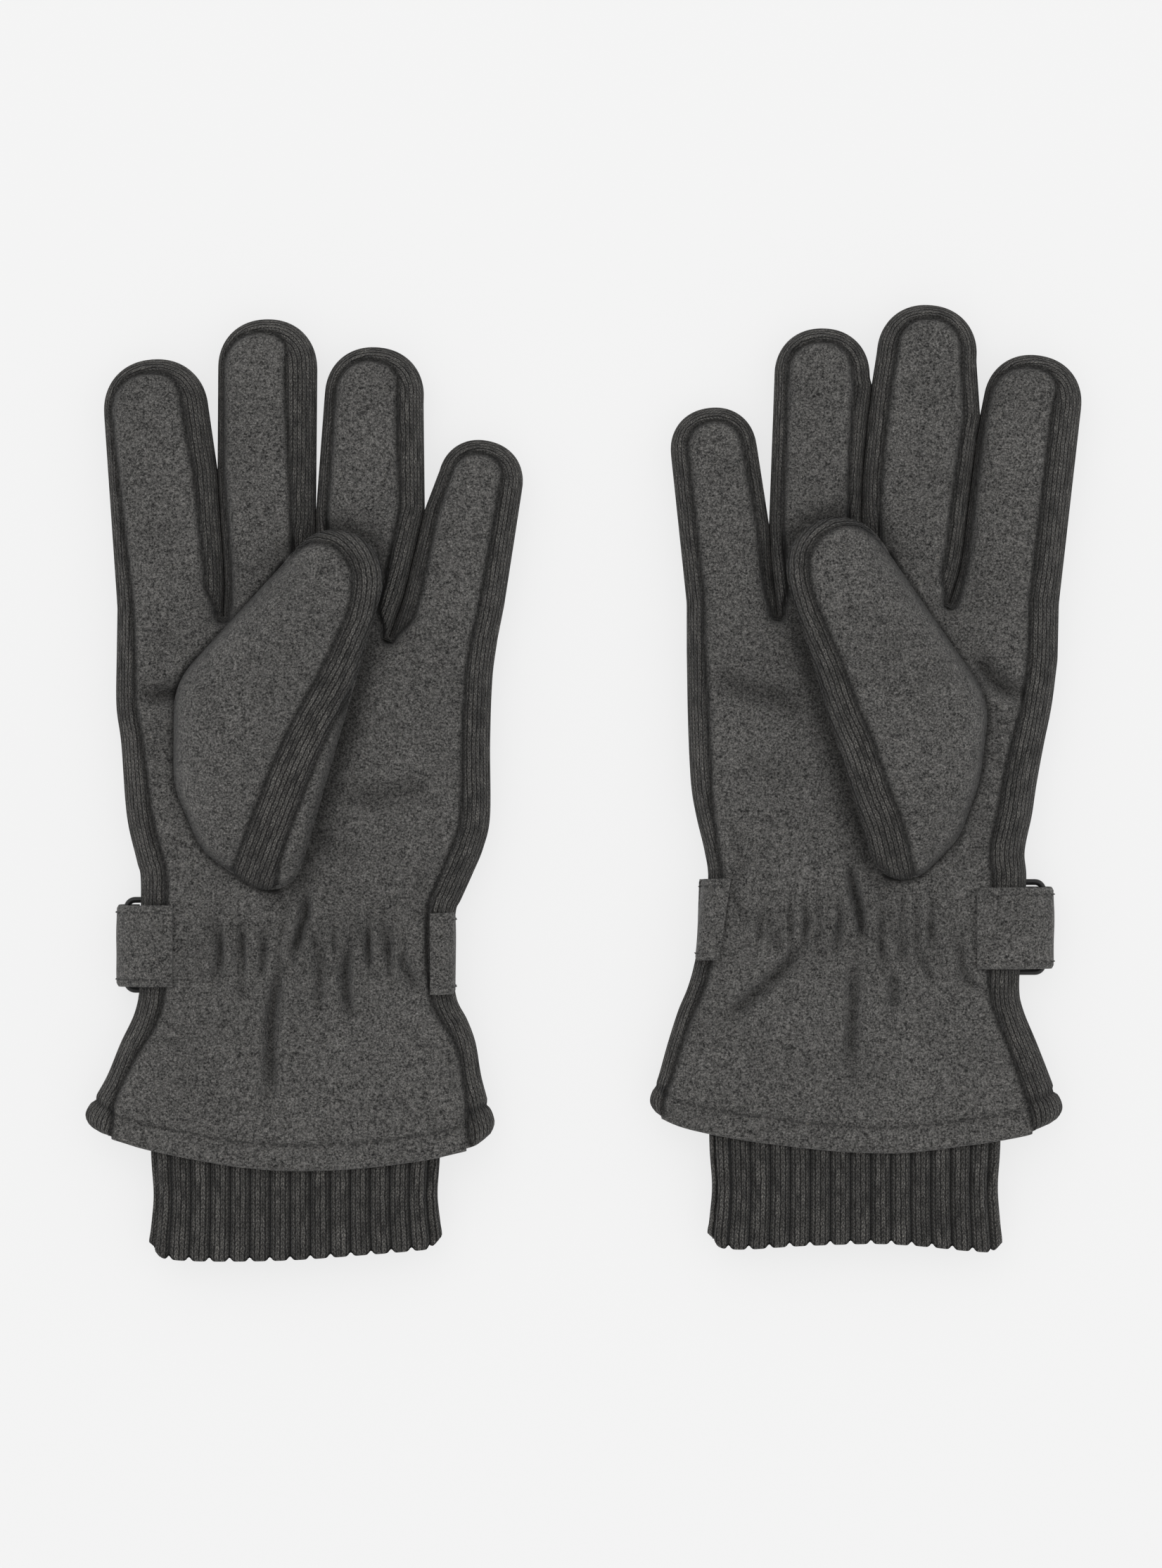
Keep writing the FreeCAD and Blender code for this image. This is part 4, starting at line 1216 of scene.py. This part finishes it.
class Thumb:
    """A thumb's outline, seams and heights, and the pieces made from them."""

    FLOOR = THUMB_FLOOR - 0.25  # height of the flat back
    FREE_EDGE = 0.48  # the free edge's height, as a share of the thumb's
    FREE_ROUND, SEAM_ROUND = 8.0, 15.0  # how far in from each edge the front is rounded
    REACH = 5.0  # from the edge in to the flat back
    EDGE_SLACK = 0.35  # this near to the outline counts as on it
    LINING_INSET = 3.2  # from the outline to the lining's edge
    LIP = 1.2  # a hidden lip under the front, so no light shows through the seam

    def __init__(self, side, glove):
        sign = glove["radial"]
        self.side = side
        self.points, self.at, self.seam_tree, self.free_tree = thumb_rim(glove)
        self.rim_tree = tree_of(self.points)
        self.span = tuple(zip(self.points.min(axis=0), self.points.max(axis=0)))
        self.root_y = min(y for _, y, _ in glove["thumb"])
        self.front_line = smooth_curve(glove["thumb_front"], 0.5)
        outer_side = [(sign * 140, 90), (sign * 150, 0), (sign * 115, -45)]
        self.front_area = np.concatenate([self.front_line, outer_side])
        self.back_line = None
        if glove["thumb_back"] is not None:
            self.back_line = smooth_curve(glove["thumb_back"], 0.5)
            self.back_area = np.concatenate([self.back_line, [(sign * 45, 44), (sign * 45, -45)]])

    def top(self, plan):
        """Height of the front, fullest towards the tip."""
        from_seam = np.maximum(nearest_on(self.seam_tree, plan)[0] - self.EDGE_SLACK, 0)
        from_free = np.maximum(nearest_on(self.free_tree, plan)[0] - self.EDGE_SLACK, 0)
        rise = 0.03 + 0.97 * bulge(from_seam / self.SEAM_ROUND)
        rise = rise * (self.FREE_EDGE + (1 - self.FREE_EDGE) * bulge(from_free / self.FREE_ROUND))
        full = 0.66 + 0.34 * ease((plan[:, 1] - self.root_y + 12) / 50)
        lumps = 0.45 * wave(plan, 15, 21.0) + 0.22 * wave(plan, 5.5, 33.0) - 0.4
        return self.FLOOR + THUMB_HEIGHT * rise * full + lumps * bulge(np.minimum(from_seam, from_free) / 6)

    def in_front(self, plan):
        """Distance from the seam of the felt front, positive on the felt."""
        return signed_distance(plan, self.front_line, self.front_area)

    def in_wedge(self, plan):
        """Distance from the strip's other seam, positive on the felt past it."""
        if self.back_line is None:
            return np.full(len(plan), -50.0)
        return signed_distance(plan, self.back_line, self.back_area)

    def between_seams(self, plan):
        """Distance from the nearer of the strip's two seams, positive on the knit."""
        return -np.maximum(self.in_front(plan), self.in_wedge(plan))

    def in_rim(self, plan):
        """Distance from the outline, positive inside."""
        distance, _ = nearest_on(self.rim_tree, plan)
        return np.where(inside_polygon(plan, self.points), distance, -distance)

    def sheet(self, name, level, look, cell):
        """A piece of the front where level is positive, pressed in at its seams, and ridged if knitted."""
        plan, faces = clipped_grid(lambda q: np.minimum(level(q), self.in_rim(q)), *self.span, cell)
        to_front = self.in_front(plan)
        seam = np.minimum(np.abs(to_front), np.abs(self.in_wedge(plan)))
        z = self.top(plan) - 0.9 * np.exp(-((seam / 0.9) ** 2))
        uv = None
        if look is KNIT:
            across = -to_front
            _, along, _ = line_distance(plan, self.front_line[::2])
            ridge = np.abs(np.sin(math.pi * across / WALE)) ** 0.6 - 0.6
            z = z + WALE_DEPTH * ridge * ease(across / 1.0)
            uv = np.column_stack([along, across])
        # painted shade at the seams and along the rim of the front
        shade = painted_seam_shade(seam) + 0.8 * np.exp(-((self.in_rim(plan) / 1.6) ** 2))
        return mesh_object(f"{self.side}_thumb_{name}", np.column_stack([plan, z]), faces, look, uv, shade)

    def edge(self):
        """From the front's rim down and in to the flat back: knit beside the strip, felt elsewhere."""
        points = self.points
        following, before = np.roll(points, -1, axis=0), np.roll(points, 1, axis=0)
        along = (following - before) / np.linalg.norm(following - before, axis=1)[:, None]
        inward = np.stack([-along[:, 1], along[:, 0]], axis=1)
        edge_z = self.top(points)
        rows = [np.column_stack([points + inward * self.LIP, edge_z + 0.9])]
        for t in np.linspace(0, 1, 14):
            inset = self.REACH * t**1.4
            z = self.FLOOR + (edge_z - self.FLOOR) * (1 - bulge(inset / self.REACH))
            rows.append(np.column_stack([points + inward * inset, z]))
        columns = len(rows)
        vertices = np.array(rows).transpose(1, 0, 2)
        across = running_length(vertices) + 20
        uv = np.column_stack([np.repeat(self.at, columns), across.ravel()])
        knitted = (self.in_front(points) < 0) & (self.in_wedge(points) < 0)
        faces = lattice_faces(len(points), columns, closed_rows=True)
        made = {}
        for label, wanted, look in (("tip_knit", True, KNIT), ("back_edge_felt", False, FELT)):
            used, chosen = in_use([f for f in faces if knitted[f[0] // columns] == wanted])
            # the edge pieces are evenly darkened by painted shade
            name, shade = f"{self.side}_thumb_{label}", np.full(len(used), 0.5)
            made[label] = mesh_object(name, vertices.reshape(-1, 3)[used], chosen, look, uv[used], shade)
        return made

    def back(self):
        """The flat felt that lies on the palm."""
        plan, faces = clipped_grid(lambda q: self.in_rim(q) - self.REACH + 0.3, *self.span, COARSE_CELL)
        z = self.FLOOR + 0.12 * wave(plan, 8, 2.0)
        faces = [f[::-1] for f in faces]
        return mesh_object(f"{self.side}_thumb_back_felt", np.column_stack([plan, z]), faces, FELT)

    def lining(self):
        """The inner bag of jersey."""
        plan, faces = clipped_grid(lambda q: self.in_rim(q) - self.LINING_INSET, *self.span, COARSE_CELL)
        close = bulge((self.in_rim(plan) - self.LINING_INSET) / 6.0)
        middle_z = self.FLOOR + 3.0
        upper = middle_z + np.maximum(self.top(plan) - LINING_DROP - middle_z, 0.3) * close
        lower = middle_z - 0.9 * close
        vertices = np.concatenate([np.column_stack([plan, upper]), np.column_stack([plan, lower])])
        return mesh_object(f"{self.side}_thumb_inner_lining", vertices, two_layers(faces, len(plan)), JERSEY)

    def pieces(self):
        """All pieces of the thumb: front, knitted strip, wedge past it, edge, back and lining."""
        made = {
            "front_panel": self.sheet("front_felt", lambda q: self.in_front(q) + 0.5, FELT, CELL),
            "knit_strip": self.sheet("knit", lambda q: self.between_seams(q) + 0.4, KNIT, FINE_CELL),
        }
        if self.back_line is not None:
            made["wedge"] = self.sheet("wedge_felt", lambda q: self.in_wedge(q) + 0.4, FELT, CELL)
        made.update(self.edge())
        made["back_panel"] = self.back()
        made["lining"] = self.lining()
        return made


def band(name, path, y_low, y_high, look, skew=0.0, lean=0.0, crown=0.15):
    """A flat band with rounded edges, whose middle line follows path, a list of (x, z), over a range of y.

    skew moves the start along y, fading to nothing at the end, and lean tilts the start sideways."""
    middle, at = resample(smooth_curve(path, 0.6), 0.6)
    right = normals_right(middle)
    section = []
    steps = 26
    width = y_high - y_low
    for t in np.linspace(0, 1, steps):
        section.append((y_low + width * t, 1))
    for t in np.linspace(1, 0, steps):
        section.append((y_low + width * t, -1))
    rows = []
    for (x, z), (nx, nz), s in zip(middle, right, at):
        row = []
        for y, face in section:
            edge = min(y - y_low, y_high - y)
            plump = bulge(np.array([(edge + 0.05) / 1.0]))[0]
            lump = 0.18 * noise.noise(Vector((x / 9, y / 9, z / 9 + 5)))
            half = STRAP_THICK / 2 * plump + (crown * math.sin(math.pi * (y - y_low) / width) + lump) * plump
            tilt = lean * ((y - y_low) / width - 0.5) * math.exp(-((s / 16) ** 2))
            row.append((x + nx * half * face + tilt, y + skew * (1 - s / at[-1]), z + nz * half * face))
        rows.append(row)
    vertices = np.array(rows)
    count = len(section)
    faces = lattice_faces(len(rows), count, closed_columns=True)
    faces.append(tuple(range(count))[::-1])
    faces.append(tuple((len(rows) - 1) * count + k for k in range(count)))
    return mesh_object(name, vertices.reshape(-1, 3), faces, look)


def band_stitches(name, path, y_low, y_high, skew=0.0, lean=0.0):
    """Rows of stitches beside both long edges of a band, on its two faces."""
    middle, at = resample(smooth_curve(path, 0.6), 0.6)
    right = normals_right(middle)
    middle, right, along = middle[4:-4], right[4:-4], at[4:-4]
    lines = []
    for y in (y_low + EDGE_STITCH, y_high - EDGE_STITCH):
        tilt = lean * ((y - y_low) / (y_high - y_low) - 0.5) * np.exp(-((along / 16) ** 2))
        for face in (1, -1):
            plan = middle + right * face * (STRAP_THICK / 2 + STITCH_LIFT)
            row_y = y + skew * (1 - along / at[-1])
            lines.append(np.column_stack([plan[:, 0] + tilt, row_y, np.maximum(plan[:, 1], 0.3)]))
    return stitch_lines(name, lines)


def strap_parts(side, glove):
    """Wrist strap, its free end, the tab with the ring, and their stitches."""
    sign = glove["radial"]
    tab_seam, tab_wall, tab_out = glove["strap_walls"]["tab"]
    far_seam, far_out = glove["strap_walls"]["far"]
    y = glove["strap_y"]
    low, high = y - STRAP_WIDTH / 2, y + STRAP_WIDTH / 2
    bar = RING_BAR
    turn = bar + 0.2 + STRAP_THICK / 2
    bar_z = 0.3 + STRAP_THICK / 2 + turn
    outer_bar = tab_out - STRAP_THICK - 0.2 - bar
    inner_bar = outer_bar - RING_SPAN
    over = HEIGHT + 0.2
    upper, lower = bar_z + turn, bar_z - turn

    def placed(path):
        return [(sign * px, pz) for px, pz in path]

    def arc(cx, start, end, count=8):
        angles = [math.radians(start + (end - start) * k / count) for k in range(count + 1)]
        return [(cx + turn * math.cos(a), bar_z + turn * math.sin(a)) for a in angles]

    made = {}
    outside = far_out + STRAP_THICK / 2
    strap = [(far_seam, over + 0.2), (outside + 3.4, over), (outside + 0.9, over - 1.6),
             (outside, over - 5.0), (outside + 0.2, upper + 4.0), (outside + 1.6, upper + 1.0),
             (outside + 5.0, upper), (inner_bar - 20, upper), (inner_bar - 4, upper)]
    strap += arc(inner_bar, 90, -90) + [(inner_bar - 2.0, lower)]
    slant = glove["strap_slant"]
    made["wrist_strap"] = band(f"{side}_strap_band", placed(strap), low, high, STRAP_FELT, *slant)
    tail = [(inner_bar - reach, lower) for reach in (2.3, 14, 30, 46.3)]
    made["strap_end"] = band(f"{side}_strap_tongue", placed(tail), low, high, STRAP_FELT, crown=0.0)
    tab = [(tab_seam, over + 0.4), (tab_wall - 2, over + 0.3), (tab_wall + 3.2, over - 1.4),
           (tab_out - 1.6, over - 5.0), (outer_bar + turn, bar_z + 4.0)]
    tab += arc(outer_bar, 0, -90, 5) + [(tab_wall + 1.5, lower)]
    made["ring_tab"] = band(f"{side}_ring_tab_band", placed(tab), low, high, STRAP_FELT)
    for label, path, tilt in (("strap", strap, slant), ("tab", tab, (0, 0)), ("tongue", tail, (0, 0))):
        stitches = band_stitches(f"{side}_{label}_stitches", placed(path), low, high, *tilt)
        made[f"{label}_stitches"] = stitches
    made["strap_ring"] = ring_mesh(f"{side}_ring_loop", sign * outer_bar, sign * inner_bar, y, bar_z, bar)
    return made


def ring_mesh(name, x_outer, x_inner, y, z, bar):
    """The rectangular ring: a round bar swept round a rounded rectangle, with a faint mould line."""
    corner, half = 2.6, STRAP_WIDTH / 2 + 0.5 + bar
    west, east = sorted((x_outer, x_inner))
    path = []
    for cx, cy, start in ((east - corner, y + half - corner, 0), (west + corner, y + half - corner, 90),
                          (west + corner, y - half + corner, 180), (east - corner, y - half + corner, 270)):
        for k in range(9):
            a = math.radians(start + 90 * k / 8)
            path.append((cx + corner * math.cos(a), cy + corner * math.sin(a)))
    path = np.array(path)
    vertices = []
    count = 16
    along = np.roll(path, -1, axis=0) - np.roll(path, 1, axis=0)
    along /= np.linalg.norm(along, axis=1)[:, None]
    for (px, py), (ax, ay) in zip(path, along):
        for k in range(count):
            a = 2 * math.pi * k / count
            radius = bar * (1.04 if k in (0, count // 2) else 1.0)
            out, up = radius * math.cos(a), radius * math.sin(a)
            vertices.append((px + ay * out, py - ax * out, z + up))
    faces = lattice_faces(len(path), count, closed_rows=True, closed_columns=True)
    return mesh_object(name, np.array(vertices), faces, PLASTIC)


# Putting a glove together -------------------------------------------------------------------------
def hem_stitches(side, glove, shape, tree, face):
    """The row of stitches that holds the turned hem."""
    xs = np.arange(glove["west"][0][0] + 6, glove["east"][0][0] - 6, 1.0)
    line = np.column_stack([xs, hem_y(glove, xs) + HEM_WIDTH])
    distance, nearest = nearest_on(tree, line)
    z = skin(glove, line, distance, distance - shape["width"][nearest], face) - face * 0.45
    label = "palm" if face > 0 else "back"
    return stitch_lines(f"{side}_{label}_hem_stitches", [np.column_stack([line, z + face * 0.1])])


def build_shell(side, glove):
    """Fingers, hand and gauntlet, with their hem, cuff and elastic."""
    shape = outline(glove)
    tree = tree_of(shape["points"])
    hand = f"{side}_hand"
    palm, back = (felt_sheets(side, glove, shape, tree, face) for face in (1, -1))
    knits = knit_strips(side, glove, shape)
    bags = lining_bags(side, glove, shape, tree)
    for name in FINGERS:
        pieces = ((palm[name], "front_panel", "felt"), (back[name], "back_panel", "felt"),
                  (knits[name], "knit_strip", "knit"), (bags[name], "lining", "lining"))
        for obj, node_name, slot in pieces:
            ride_finger(obj)
            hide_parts(f"{side}_{name}_{node_name}")
    hems = [hem_edge(side, glove, shape, tree, face) for face in (1, -1)]
    webs = [knits[label] for label in ("web_a", "web_b", "web_c", "east")]
    for obj, slot in [(hem, "felt") for hem in hems] + [(web, "knit") for web in webs]:
        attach(obj, hand)
    single = ((palm["hand"], "palm_panel", "felt"), (back["hand"], "back_panel", "felt"),
              (knits["west"], "knit_side_strips", "knit"), (bags["hand"], "hand_lining", "lining"),
              (rib_cuff(side, glove), "rib_cuff", "rib_knit"),
              (elastic_ribbon(side, glove, tree), "wrist_elastic", "elastic"))
    for obj, node_name, slot in single:
        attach(obj, hand)
        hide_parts(f"{side}_{node_name}")
    for face in (1, -1):
        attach(hem_stitches(side, glove, shape, tree, face), hand)


def build_thumb(side, glove):
    """The thumb's pieces, which all ride on its own body."""
    for part, obj in Thumb(side, glove).pieces().items():
        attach(obj, f"{side}_thumb")
        if part in ("front_panel", "back_panel", "knit_strip", "lining"):
            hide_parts(f"{side}_thumb_{part}")


def build_strap(side, glove):
    """Strap, tab and ring, of which only the strap's end moves."""
    for part, obj in strap_parts(side, glove).items():
        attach(obj, f"{side}_strap_end" if part in ("strap_end", "tongue_stitches") else f"{side}_hand")
        if part.endswith("stitches"):
            continue
        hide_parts(f"{side}_{part}")


def build_glove(side):
    glove = GLOVES[side]
    rim, _, seam_tree, free_tree = thumb_rim(glove)
    glove["thumb_trees"] = free_tree, seam_tree, rim.min(axis=0), rim.max(axis=0)
    build_shell(side, glove)
    build_thumb(side, glove)
    build_strap(side, glove)


for glove_side in GLOVES:
    build_glove(glove_side)


# Stage --------------------------------------------------------------------------------------------
def floor_material():
    """A plain pale card: most of its light is its own even glow, which keeps the gloves' shadow faint."""
    made, tree, shader = material("studio_floor")
    fill(tree, shader, {"Base Color": grey(0.16), "Emission Color": grey(1.0), "Emission Strength": 0.74,
                        "Roughness": 0.9, "Specular IOR Level": 0.1})
    return made


def build_stage():
    """The pale card that the gloves lie on."""
    half = 4.0  # metres
    mesh = bpy.data.meshes.new("studio_floor")
    corners = [(-half, -half, 0), (half, -half, 0), (half, half, 0), (-half, half, 0)]
    mesh.from_pydata(corners, [], [(0, 1, 2, 3)])
    mesh.materials.append(floor_material())
    floor = bpy.data.objects.new("studio_floor", mesh)
    floor.location.z = -0.0002  # metres, just clear of the cloth
    bpy.context.scene.collection.objects.link(floor)


def area_light(name, place, size, power, target=(0, 0, 0)):
    """A square softbox that faces the target."""
    light = bpy.data.lights.new(name, "AREA")
    light.shape = "SQUARE"
    light.size = size
    light.energy = power
    obj = bpy.data.objects.new(name, light)
    obj.location = place
    obj.rotation_euler = (Vector(target) - Vector(place)).to_track_quat("-Z", "Y").to_euler()
    bpy.context.scene.collection.objects.link(obj)


def build_lights():
    """Two softboxes above, and an even white surround."""
    area_light("key_softbox", place=(-0.5, 0.8, 1.6), size=1.4, power=5)
    area_light("fill_softbox", place=(0.9, 0.1, 1.4), size=1.4, power=2.5)
    world = bpy.data.worlds.new("studio")
    world.use_nodes = True
    tree = world.node_tree
    fill(tree, tree.nodes["Background"], {"Color": grey(1.0), "Strength": 0.85})
    bpy.context.scene.world = world
    bpy.context.scene.view_settings.view_transform = "Standard"


def build_camera():
    """Straight above, framing the pair as a flat lay."""
    distance = 1.6  # metres above the middle of the gloves
    frame_height = 0.4828
    centre = (-0.0006, -0.0003)
    camera = bpy.data.cameras.new("camera")
    camera.sensor_fit = "AUTO"
    camera.sensor_width = 36.0
    camera.lens = camera.sensor_width * distance / frame_height
    obj = bpy.data.objects.new("camera", camera)
    obj.location = (*centre, distance + MIDDLE * MM)
    obj.rotation_euler = (0, 0, 0)
    bpy.context.scene.collection.objects.link(obj)
    bpy.context.scene.camera = obj


build_stage()
build_lights()
build_camera()
